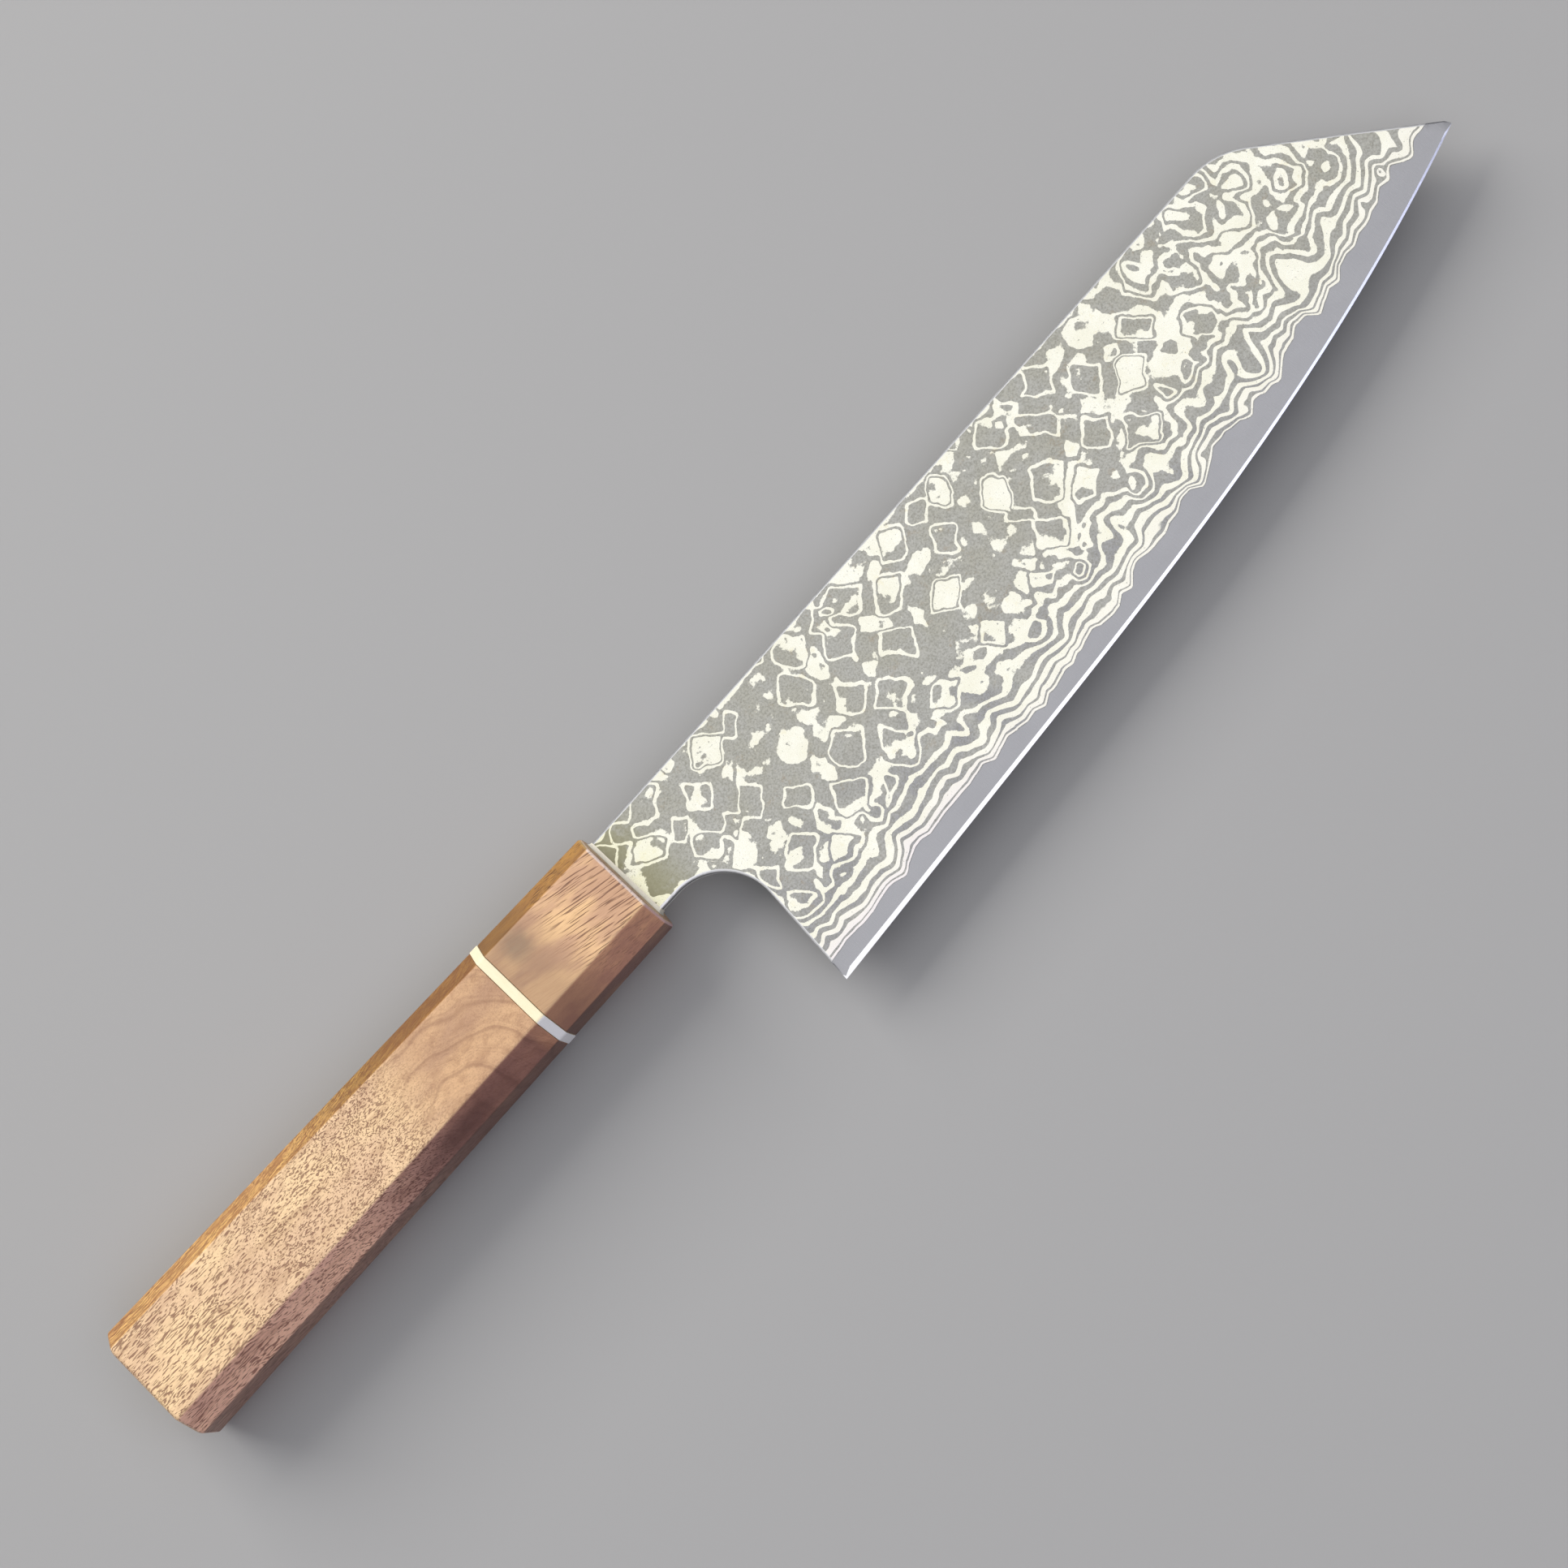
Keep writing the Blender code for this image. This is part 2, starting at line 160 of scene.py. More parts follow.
def line_points(start, end, step):
    """Evenly spaced points from start up to, but without, end."""
    start, end = np.array(start, float), np.array(end, float)
    count = max(1, math.ceil(np.linalg.norm(end - start) / step))
    return [tuple(start + (end - start) * i / count) for i in range(count)]


def arc_points(centre, radius, start, end, step):
    """Points on an arc from one angle up to, but without, another."""
    count = max(1, math.ceil(abs(end - start) * radius / step))
    angles = [mix((start, end), i / count) for i in range(count)]
    return [(centre[0] + radius * math.cos(a), centre[1] + radius * math.sin(a)) for a in angles]


def bisect(test, low, high):
    """The place between low and high where test changes from true to false."""
    for _ in range(40):
        middle = (low + high) / 2
        low, high = (middle, high) if test(middle) else (low, middle)
    return low


def link(name, data):
    """Object of a mesh, camera or light, linked into the scene."""
    made = bpy.data.objects.new(name, data)
    bpy.context.scene.collection.objects.link(made)
    return made


def make_object(name, points, faces, materials, attributes=None):
    """Mesh object from design points, with smooth shading up to an angle."""
    mesh = bpy.data.meshes.new(name)
    world = np.asarray(points, float) * MM + ORIGIN
    mesh.from_pydata(world.tolist(), [], faces)
    for key, values in (attributes or {}).items():
        layer = mesh.attributes.new(key, "FLOAT", "POINT")
        layer.data.foreach_set("value", np.asarray(values, np.float32))
    for material in materials:
        mesh.materials.append(material)
    mesh.shade_smooth()
    mesh.set_sharp_from_angle(angle=SHARP_ANGLE)
    return link(name, mesh)


def settle(piece, slot, *nodes):
    """The piece rides on the knife's one body and stands for its CAD nodes."""
    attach(piece, "root")
    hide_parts(*nodes)


# ---- seeded noise

class Noise:
    """Random lattice values from -1 to 1, joined smoothly."""

    SIZE = 256

    def __init__(self, seed):
        self.values = np.random.RandomState(seed).uniform(-1, 1, (self.SIZE, self.SIZE))

    @staticmethod
    def join(share):
        return smooth(share)

    def __call__(self, x, y=0.0):
        x, y = np.broadcast_arrays(np.asarray(x, float), np.asarray(y, float))
        i, j = np.floor(x).astype(int), np.floor(y).astype(int)
        across, along = self.join(x - i), smooth(y - j)
        i, j = i % self.SIZE, j % self.SIZE
        k, m = (i + 1) % self.SIZE, (j + 1) % self.SIZE
        low = self.values[i, j] * (1 - across) + self.values[k, j] * across
        high = self.values[i, m] * (1 - across) + self.values[k, m] * across
        return low * (1 - along) + high * along


class KinkedNoise(Noise):
    """The same lattice joined by straight runs, for angular waves."""

    @staticmethod
    def join(share):
        return np.clip((share - 0.08) / 0.84, 0, 1)


# ---- blade shape

def edge_y(x):
    along = np.maximum(0.0, x - BELLY_X) / BELLY_LENGTH
    return HEEL_Y + EDGE_SLOPE * (x - HEEL_X) + BELLY_RISE * along ** BELLY_POWER


def edge_slope(x):
    along = np.maximum(0.0, x - BELLY_X) / BELLY_LENGTH
    return EDGE_SLOPE + BELLY_RISE * BELLY_POWER / BELLY_LENGTH * along ** (BELLY_POWER - 1)


def spine_y(x):
    return SPINE_Y + SPINE_SLOPE * x


def height(x, y):
    """Distance from the cutting edge, measured square to it."""
    return (y - edge_y(x)) / np.sqrt(1 + edge_slope(x) ** 2)


def spine_half(x):
    """Half thickness of the flat upper blade: even along the neck, then thinning to the tip."""
    along = np.clip((x - TAPER_START_X) / (TIP_X - TAPER_START_X), 0, 1)
    return mix((SPINE_HALF, TIP_HALF), along)


def bevel_height(x):
    """The cutting bevel narrows towards the tip, fastest near the heel."""
    along = np.clip((x - HEEL_X) / (TIP_X - HEEL_X), 0, 1)
    return mix((BEVEL_HEIGHT, TIP_BEVEL), along ** BEVEL_NARROWING)


def face_half(x, y):
    """Half thickness of the blade before its rims are eased."""
    above = y - edge_y(x)
    ground = SHOULDER_HALF + GRIND_SLOPE * (above - BEVEL_HEIGHT)
    shoulder = SHOULDER_HALF - GRIND_SLOPE * (BEVEL_HEIGHT - bevel_height(x))
    bevel = shoulder * above / bevel_height(x)
    return np.maximum(0, np.minimum(soft_min(ground, spine_half(x), GRIND_BLEND), bevel))


def eased_half(x, y, rim):
    """Half thickness with the blade's rims rounded."""
    half = face_half(x, y)
    depth = np.minimum(RIM_EASE_DEPTH, RIM_EASE_SHARE * half)
    near = np.clip(1 - rim / RIM_EASE_WIDTH, 0, 1)
    return half - depth * near ** 2


def sheet_half(x, y, rim):
    """Half thickness of the core under the cladding."""
    above = y - edge_y(x)
    grind_top = BEVEL_HEIGHT + (spine_half(x) - SHOULDER_HALF) / GRIND_SLOPE
    start = SHOULDER_HALF + GRIND_SLOPE * (CLAD_LINE - BEVEL_HEIGHT) - CLAD_LIP
    share = np.clip((above - CLAD_LINE) / (grind_top - CLAD_LINE), 0, 1)
    sheet = mix((start, CORE_SHARE * spine_half(x)), share)
    return np.minimum(sheet, eased_half(x, y, rim) - CLAD_LIP)


CHOIL_CENTRE = (CHOIL_CENTRE_X, NECK_BOTTOM_Y - CHOIL_RADIUS)
CHOIL_END = (
    CHOIL_CENTRE[0] + CHOIL_RADIUS * math.cos(CHOIL_SIDE_ANGLE),
    CHOIL_CENTRE[1] + CHOIL_RADIUS * math.sin(CHOIL_SIDE_ANGLE),
)
HEEL = (HEEL_X, HEEL_Y)
TIP = (TIP_X, float(edge_y(TIP_X)))
NOSE = (TIP_X - TIP_NOSE / 2, TIP[1] + TIP_NOSE)
BACK_ANGLE = math.atan2(NOSE[1] - spine_y(CORNER_X), NOSE[0] - CORNER_X)
SPINE_ANGLE = math.atan(SPINE_SLOPE)
CORNER_REACH = CORNER_RADIUS * math.tan((SPINE_ANGLE - BACK_ANGLE) / 2)
CORNER_START_X = CORNER_X - CORNER_REACH * math.cos(SPINE_ANGLE)
CORNER_CENTRE = (
    CORNER_START_X + CORNER_RADIUS * math.sin(SPINE_ANGLE),
    spine_y(CORNER_START_X) - CORNER_RADIUS * math.cos(SPINE_ANGLE),
)
CORNER_TURN = (QUARTER_TURN + BACK_ANGLE, QUARTER_TURN + SPINE_ANGLE)
BACK_TOP = (
    CORNER_CENTRE[0] + CORNER_RADIUS * math.cos(CORNER_TURN[0]),
    CORNER_CENTRE[1] + CORNER_RADIUS * math.sin(CORNER_TURN[0]),
)
SPINE_END = (CORNER_START_X, spine_y(CORNER_START_X))
NECK_TOP, NECK_BOTTOM = (NECK_END_X, spine_y(NECK_END_X)), (NECK_END_X, NECK_BOTTOM_Y)


def heel_side(share):
    """A point on the straight side from the choil down to the heel."""
    return mix((np.array(CHOIL_END), np.array(HEEL)), share)


def angled_back(share):
    """A point on the straight back from the tip's nose up to the rounded corner."""
    return mix((np.array(NOSE), np.array(BACK_TOP)), share)


def rim_above(side_end, back_start, step):
    """The outline but for the edge, in three runs: choil side, back with spine, and the neck's end."""
    choil = line_points(NECK_BOTTOM, (CHOIL_CENTRE_X, NECK_BOTTOM_Y), step)
    choil += arc_points(CHOIL_CENTRE, CHOIL_RADIUS, QUARTER_TURN, CHOIL_SIDE_ANGLE, step)
    choil += line_points(CHOIL_END, side_end, step)
    back = line_points(back_start, BACK_TOP, step)
    back += arc_points(CORNER_CENTRE, CORNER_RADIUS, *CORNER_TURN, step)
    back += line_points(SPINE_END, NECK_TOP, step)
    return choil, back, line_points(NECK_TOP, NECK_BOTTOM, step)


def distance_to(x, y, path):
    """Distance from each point to an open path."""
    best = np.full(np.shape(x), np.inf)
    for (ax, ay), (bx, by) in zip(path, path[1:]):
        run, rise = bx - ax, by - ay
        share = np.clip(((x - ax) * run + (y - ay) * rise) / (run * run + rise * rise), 0, 1)
        best = np.minimum(best, np.hypot(x - ax - share * run, y - ay - share * rise))
    return best


def rim_distance(x, y):
    """Distance from the nearest rim: the neck's underside, choil, heel side, back and spine."""
    choil = arc_points(CHOIL_CENTRE, CHOIL_RADIUS, QUARTER_TURN, CHOIL_SIDE_ANGLE, RIM_STEP)
    choil = [NECK_BOTTOM] + choil
    back = [TIP, NOSE] + arc_points(CORNER_CENTRE, CORNER_RADIUS, *CORNER_TURN, RIM_STEP)
    to_choil = distance_to(x, y, choil + [CHOIL_END, HEEL])
    return np.minimum(to_choil, distance_to(x, y, back + [SPINE_END, NECK_TOP]))


def inward_rings(path, offsets):
    """Copies of a counter-clockwise path, moved into the blade."""
    path = np.array(path, float)
    ahead = np.roll(path, -1, 0) - path
    ahead[-1] = ahead[-2]
    normal = np.stack([-ahead[:, 1], ahead[:, 0]], 1)
    normal /= np.linalg.norm(normal, axis=1)[:, None]
    return np.concatenate([path + offset * normal for offset in offsets])


def triangular_grid(step):
    """Evenly spread points over the blade's whole box."""
    rows = np.arange(HEEL_Y, spine_y(TIP_X), step * math.sqrt(3) / 2)
    columns = np.arange(NECK_END_X, TIP_X, step)
    x, y = np.meshgrid(columns, rows)
    x = x + (np.arange(len(rows)) % 2)[:, None] * step / 2
    return np.stack([x.ravel(), y.ravel()], 1)


def inside(points, loop):
    """Which points lie inside a closed loop."""
    x, y = points[:, 0], points[:, 1]
    result = np.zeros(len(points), bool)
    for (ax, ay), (bx, by) in zip(loop, loop[1:] + loop[:1]):
        if ay != by:
            crosses = (ay > y) != (by > y)
            result ^= crosses & (x < (bx - ax) * (y - ay) / (by - ay) + ax)
    return result


def triangulate(loop, extra_points, extra_paths=()):
    """Fill a loop with triangles through the extra points; gives points, faces and the loop's places."""
    points = [Vector(p) for p in loop]
    edges = [(i, (i + 1) % len(loop)) for i in range(len(loop))]
    for path in extra_paths:
        start = len(points)
        points += [Vector(p) for p in path]
        edges += [(start + i, start + i + 1) for i in range(len(path) - 1)]
    points += [Vector(p) for p in extra_points]
    inside_only = 1
    made, _, faces, origins, _, _ = delaunay_2d_cdt(points, edges, [], inside_only, MERGE_DISTANCE)
    place = {}
    for index, sources in enumerate(origins):
        for source in sources:
            place[source] = index
    places = [place[i] for i in range(len(loop))]
    return np.array([tuple(p) for p in made]), [tuple(f) for f in faces], places


# ---- steel pattern

class Pattern:
    """Forged pattern of one face: wavy layers near the edge, die-stamped squares above them."""

    PITCH = 8.8         # between the stamped squares, along their own sides
    WALL = 1.3          # width of a stamp's sloping wall
    LATTICE = 64
    CLAD_START = 3.9    # the border's mean height near the heel
    BORDER_WAVE = 0.7   # how much of the layers' waves the border shows
    WAVE_LINE = 4.0     # the height whose waves shape the border
    TOP_LEVEL = 6.0     # a whole layer, so that open areas show dark steel
    LARGE_STAMPS = ((2.2, 3.2), 0, 0.92, (1, 0.5, 1.5, -1), (0.66, 0.10, 0.12, 0.12))
    SMALL_STAMPS = ((1.0, 2.4), PITCH / 2, 0.75, (1, 0.5, -0.5), (0.45, 0.30, 0.25))

    def __init__(self, seed):
        self.noise = [Noise(seed + k) for k in range(6)]
        self.kinked = [KinkedNoise(seed + 10 + k) for k in range(2)]
        self.seed = seed

    def wave(self, x, above):
        """The layers' waves, which grow towards the tip."""
        size = 1.75 + 0.95 * ramp(x, 30, 125)
        long_waves = self.kinked[0](x / 4.4 + 0.05 * above, above / 7)
        short_waves = self.kinked[1](x / 2.1, above / 4)
        return size * (long_waves + 0.4 * short_waves)

    def clad_height(self, x):
        """Height above the edge where the cladding starts."""
        calm_ends = smooth((x - HEEL_X - 1) / 4) * smooth((TIP_X - 4 - x) / 5)
        border = self.CLAD_START + ramp(x, 80, 140) * smooth((TIP_X - x) / 14)
        return border + self.BORDER_WAVE * self.wave(x, self.WAVE_LINE) * calm_ends

    def stamps(self, x, y, seed, halves, shift, keep, heights, chances):
        """Layers pushed up or down inside randomly sized squares on a lattice turned by 45 degrees."""
        random = np.random.RandomState(seed)
        size = (self.LATTICE, self.LATTICE)
        half_u, half_v = random.uniform(*halves, size), random.uniform(*halves, size)
        off_u, off_v = random.uniform(-0.9, 0.9, size), random.uniform(-0.9, 0.9, size)
        lift = random.choice(heights, size=size, p=chances) + random.uniform(-0.1, 0.1, size)
        lift = np.where(random.uniform(size=size) < keep, lift, 0)
        turn = math.sqrt(0.5)
        bend_u = 1.3 * self.noise[1](x / 7, y / 7) + 0.40 * self.kinked[0](x / 1.9 + 31, y / 1.9)
        bend_v = 1.3 * self.noise[2](x / 7, y / 7) + 0.40 * self.kinked[1](x / 1.9 + 31, y / 1.9)
        bend_u += 0.12 * self.noise[1](x / 0.7, y / 0.7)
        bend_v += 0.12 * self.noise[2](x / 0.7, y / 0.7)
        u, v = (x + y) * turn + bend_u + shift, (y - x) * turn + bend_v + shift
        column, row = np.floor(u / self.PITCH).astype(int), np.floor(v / self.PITCH).astype(int)
        total = np.zeros_like(x)
        for step_u in (-1, 0, 1):
            for step_v in (-1, 0, 1):
                i, j = column + step_u, row + step_v
                a, b = i % self.LATTICE, j % self.LATTICE
                du = np.abs(u - (i + 0.5) * self.PITCH - off_u[a, b]) / half_u[a, b]
                dv = np.abs(v - (j + 0.5) * self.PITCH - off_v[a, b]) / half_v[a, b]
                outside = ((du ** 9 + dv ** 9) ** (1 / 9) - 1) * (half_u[a, b] + half_v[a, b]) / 2
                total += lift[a, b] * smooth(0.5 - outside / self.WALL)
        return total

    def layers(self, x, y, rim):
        """How many layers up from the core a point of the ground face lies."""
        above = height(x, y)
        rise = above - self.clad_height(x)
        growing = self.BORDER_WAVE + 0.09 * np.clip(above - self.WAVE_LINE, 0, 12)
        sway = self.wave(x, above) * growing - self.BORDER_WAVE * self.wave(x, self.WAVE_LINE)
        rise = np.maximum(0, rise - sway * smooth(rise / 2.5))
        towards_tip = ramp(x, 122, 158)
        count = (1.80 + 0.12 * self.noise[3](x / 30, 0)) * (np.sqrt(rise + 0.1) - math.sqrt(0.1))
        level = self.TOP_LEVEL + towards_tip * np.maximum(rise - 11.5, 0) / 3.3
        grow = ramp(rise, 5.5, 13.0)
        count += (0.10 + 0.20 * grow) * self.noise[4](x / 3.5, y / 2.5) * smooth(rise / 2)
        count = soft_min(count, level, 1.2)
        large = self.stamps(x, y, self.seed + 5, *self.LARGE_STAMPS)
        small = self.stamps(x, y, self.seed + 9, *self.SMALL_STAMPS)
        count += (large + small) * (0.08 + 0.92 * grow) * (1 - 0.3 * towards_tip) * smooth(rise / 3)
        swell = 0.33 * self.noise[4](x / 4.6 + 9, y / 3.8) + 0.18 * self.noise[4](x / 2.1 + 40, y / 2.1)
        swell += 0.08 * self.kinked[0](x / 1.1 + 70, y / 1.1) + 0.05 * self.noise[5](x / 0.6, y / 0.6)
        count += swell * (0.3 + 0.7 * grow) * smooth(rise / 2)
        count += 0.17 * smooth((13 - x) / 9)
        back = ramp(x, 150, 164)
        beside_rim = np.clip(1 - rim / (1.3 + 2.6 * back), 0, 1) ** 1.3
        count -= (0.6 + 0.7 * back) * beside_rim * smooth((rise - 0.8) / 4)
        return np.maximum(0, count)

    def half_width(self, x, y):
        """Half of each layer pair's bright share: most beside the core, least in the upper waves."""
        above = height(x, y)
        waves = ramp(above, 7, 11) * (1 - ramp(above, 14, 19))
        share = 0.335 - 0.08 * ramp(above, 4.5, 8.0) - 0.035 * waves
        share = share + 0.08 * self.noise[3](x / 5 + 50, y / 3)
        return share + 0.02 * self.noise[5](x / 1.1, y / 1.1)


# ---- blade pieces

def clad_path(pattern, step):
    """The cladding's lower border, from the heel side to the angled back."""
    def above_side(share):
        x, y = heel_side(share)
        return height(x, y) > pattern.clad_height(x)

    def below_back(share):
        x, y = angled_back(share)
        return height(x, y) < pattern.clad_height(x)

    start = heel_side(bisect(above_side, 0, 1))
    end = angled_back(bisect(below_back, 0, 1))
    x = np.linspace(start[0], end[0], math.ceil((end[0] - start[0]) / step) + 1)[1:-1]
    y = edge_y(x) + pattern.clad_height(x) * np.sqrt(1 + edge_slope(x) ** 2)
    return [tuple(start)] + list(zip(x, y)) + [tuple(end)]


def rim_faces(upper, lower):
    """Quads between two loops of equal length."""
    after = [(k + 1) % len(upper) for k in range(len(upper))]
    return [(upper[j], upper[k], lower[k], lower[j]) for k, j in enumerate(after)]


def add_cladding(name, side, pattern, node, materials):
    """One patterned outer ply: a fine patterned face, a plain inner face and the rim between them."""
    border = clad_path(pattern, PATTERN_STEP)
    choil, back, neck = rim_above(border[0], border[-1], PATTERN_STEP)
    loop = choil + border[:-1] + back + neck
    rings = [inward_rings(path, RIM_RINGS) for path in (choil, back)]
    grid = np.concatenate([triangular_grid(PATTERN_STEP)] + rings)
    grid = grid[inside(grid, loop)]
    keep = rim_distance(*grid.T) > FIRST_RING_CLEAR
    border_gap = height(*grid.T) - pattern.clad_height(grid[:, 0])
    keep &= border_gap > BORDER_CLEAR
    keep &= grid[:, 0] > NECK_END_X + NECK_CLEAR
    outer, outer_faces, outer_loop = triangulate(loop, grid[keep])
    plane = triangular_grid(PLANE_STEP)
    plane = plane[inside(plane, loop)]
    away = rim_distance(*plane.T) > PLANE_CLEAR
    away &= height(*plane.T) - pattern.clad_height(plane[:, 0]) > PLANE_CLEAR
    inner, inner_faces, inner_loop = triangulate(loop, plane[away])

    rim = rim_distance(*outer.T)
    outer_z = eased_half(*outer.T, rim)
    inner_rim = rim_distance(*inner.T)
    inner_z = sheet_half(*inner.T, inner_rim) + PLY_GAP
    layers = pattern.layers(*outer.T, rim)

    points = np.concatenate([np.column_stack([outer, outer_z]), np.column_stack([inner, inner_z])])
    points[:, 2] *= side
    first = len(outer)
    faces = outer_faces + [tuple(first + i for i in reversed(f)) for f in inner_faces]
    faces += rim_faces(outer_loop, [first + i for i in inner_loop])
    if side == LEFT:
        faces = [tuple(reversed(f)) for f in faces]
    attributes = {
        "layers": np.concatenate([layers, np.zeros(len(inner))]),
        "half_width": pattern.half_width(points[:, 0], points[:, 1]),
        "rim": np.concatenate([rim, inner_rim]),
    }
    ply = make_object(name, points, faces, materials, attributes)
    settle(ply, "patterned_steel", node)


def add_core(patterns, materials):
    """Core steel: the bare band with its cutting bevel, the sheet between the plies, and the tang."""
    choil, back, neck = rim_above(HEEL, NOSE, RIM_STEP)
    edge_x = np.linspace(HEEL_X, TIP_X, math.ceil((TIP_X - HEEL_X) / CORE_STEP) + 1)
    edge = list(zip(edge_x, edge_y(edge_x)))
    loop = choil + edge + back + neck
    edge_places = range(len(choil), len(choil) + len(edge))

    points, faces, loops = [], [], []
    total = 0
    for side, pattern in patterns.items():
        border = clad_path(pattern, RIM_STEP)
        low = [(x, y - CLAD_GROOVE) for x, y in border[1:-1]]
        shoulder = [(x, y + bevel_height(x)) for x, y in edge[1:-1]]
        shoulder = [p for p in shoulder if rim_distance(*p) > RIM_CLEAR]
        rings = [inward_rings(path, RIM_RINGS[1::2]) for path in (choil, back)]
        grid = np.concatenate([triangular_grid(CORE_STEP)] + rings)
        grid = grid[inside(grid, loop)]
        x, y = grid.T
        up = height(x, y)
        keep = (np.abs(up - pattern.clad_height(x)) > LINE_CLEAR) & (up > LINE_CLEAR)
        keep &= np.abs(up - bevel_height(x)) > SHOULDER_CLEAR
        flat, flat_faces, flat_loop = triangulate(loop, grid[keep], (low, border, shoulder))
        x, y = flat.T
        rim = rim_distance(x, y)
        covered = height(x, y) > pattern.clad_height(x) - CLAD_GROOVE / 2
        half = np.where(covered, sheet_half(x, y, rim), eased_half(x, y, rim))
        half[[flat_loop[k] for k in edge_places]] = 0
        solid = np.column_stack([flat, side * half])
        points.append(solid)
        faces += [tuple(total + i for i in (f if side == RIGHT else reversed(f))) for f in flat_faces]
        loops.append([total + i for i in flat_loop])
        total += len(flat)
    right_loop, left_loop = loops
    faces += rim_faces(right_loop, left_loop)
    points = np.concatenate(points)
    merged = {left_loop[k]: right_loop[k] for k in edge_places}
    faces = [tuple(dict.fromkeys(merged.get(i, i) for i in f)) for f in faces]
    faces = [f for f in faces if len(f) > 2]

    ends = []
    for x, width, thickness in zip((NECK_END_X, TANG_END_X), TANG_WIDTH, TANG_THICKNESS):
        ends += [(x, sy * width / 2, sz * thickness / 2) for sy, sz in CORNERS]
    first = len(points)
    points = np.concatenate([points, np.array(ends)])
    faces += [(first + 3, first + 2, first + 1, first), (first + 4, first + 5, first + 6, first + 7)]
    faces += [(first + i, first + (i + 1) % 4, first + 4 + (i + 1) % 4, first + 4 + i) for i in range(4)]

    used = sorted({i for f in faces for i in f})
    renumber = {old: new for new, old in enumerate(used)}
    points = points[used]
    faces = [tuple(renumber[i] for i in f) for f in faces]
    x, y = points[:, 0], points[:, 1]
    attributes = {"above_shoulder": y - edge_y(x) - bevel_height(x)}
    core = make_object("core_steel_sheet", points, faces, materials, attributes)
    mark_shoulder(core.data)
    settle(core, "core_steel", "blade_core")


def mark_shoulder(mesh):
    """A crisp line, and its own material, where the cutting bevel starts."""
    above = np.zeros(len(mesh.vertices), np.float32)
    mesh.attributes["above_shoulder"].data.foreach_get("value", above)
    for edge in mesh.edges:
        if all(abs(above[i]) < ON_SHOULDER for i in edge.vertices):
            edge.use_edge_sharp = True
    for polygon in mesh.polygons:
        if max(above[i] for i in polygon.vertices) < ON_SHOULDER:
            polygon.material_index = 1


# ---- handle pieces

def facet_lines(x, inset):
    """The octagon's eight sides at x, each as an outward direction and a distance from the axis."""
    share = -x / HANDLE_LENGTH
    high, thick = mix(HALF_HEIGHT, share), mix(HALF_THICKNESS, share)
    slant = math.hypot(FACET_Y, FACET_Z)
    slant_reach = (high * FACET_Z + (thick - FACET_Z) * FACET_Y) / slant
    lines = []
    for sign_y, sign_z in CORNERS:
        slanted = ((sign_y * FACET_Z / slant, sign_z * FACET_Y / slant), slant_reach - inset)
        straight = ((0.0, sign_z), thick - inset) if sign_y == sign_z else ((sign_y, 0.0), high - inset)
        lines += [slanted, straight]
    return lines


def facet_corners(x, inset):
    """Where neighbouring sides of the octagon meet."""
    lines = facet_lines(x, inset)
    corners = []
    for (n, reach), (m, other) in zip(lines, lines[1:] + lines[:1]):
        cross = n[0] * m[1] - n[1] * m[0]
        corner_y = (reach * m[1] - other * n[1]) / cross
        corner_z = (n[0] * other - m[0] * reach) / cross
        corners.append(np.array((corner_y, corner_z)))
    return corners


def octagon_ring(x, inset=0.0):
    """The handle's section with rounded ridges, and a support point beside each rounding."""
    corners = facet_corners(x, inset)
    ring = []
    for before, corner, after in zip(corners[-1:] + corners[:-1], corners, corners[1:] + corners[:1]):
        back, ahead = before - corner, after - corner
        back, ahead = back / np.linalg.norm(back), ahead / np.linalg.norm(ahead)
        start, end = corner + RIDGE_EASE * back, corner + RIDGE_EASE * ahead
        ring.append(start + RIDGE_SUPPORT * RIDGE_EASE * back)
        for k in range(RIDGE_STEPS + 1):
            t = k / RIDGE_STEPS
            ring.append((1 - t) ** 2 * start + 2 * t * (1 - t) * corner + t ** 2 * end)
        ring.append(end + RIDGE_SUPPORT * RIDGE_EASE * ahead)
    return [(x, p[0], p[1]) for p in ring]


def circle_ring(x, radius):
    """A round section with as many points as the octagonal one, each on the same ray."""
    ring = []
    for _, y, z in octagon_ring(RING_X):
        reach = math.hypot(y, z)
        ring.append((x, y / reach * radius, z / reach * radius))
    return ring


def end_rings(x, depth, inset, direction, steps):
    """Rings that round an end at x: depth along the axis, inset in from the facets."""
    rings = [octagon_ring(x - direction * (depth + RING_SUPPORT))]
    for k in range(steps + 1):
        turn = QUARTER_TURN * k / steps
        drawn_in = inset * (1 - math.cos(turn))
        rings.append(octagon_ring(x - direction * depth * (1 - math.sin(turn)), drawn_in))
    rings.append(octagon_ring(x, inset + RING_SUPPORT))
    return rings


def even_rings(first, last, count):
    """Evenly spaced sections along the handle."""
    return [octagon_ring(mix((first, last), k / count)) for k in range(count + 1)]


def add_loft(name, rings, materials, closed=False):
    """Join rings of equal length; closed joins the last one to the first, otherwise both ends are capped."""
    count = len(rings[0])
    points = [p for ring in rings for p in ring]
    faces = []
    pairs = len(rings) if closed else len(rings) - 1
    for r in range(pairs):
        here, there = r * count, (r + 1) % len(rings) * count
        for i in range(count):
            after = (i + 1) % count
            faces.append((here + i, here + after, there + after, there + i))
    if not closed:
        faces.append(tuple(reversed(range(count))))
        faces.append(tuple((len(rings) - 1) * count + i for i in range(count)))
    return make_object(name, points, faces, materials)


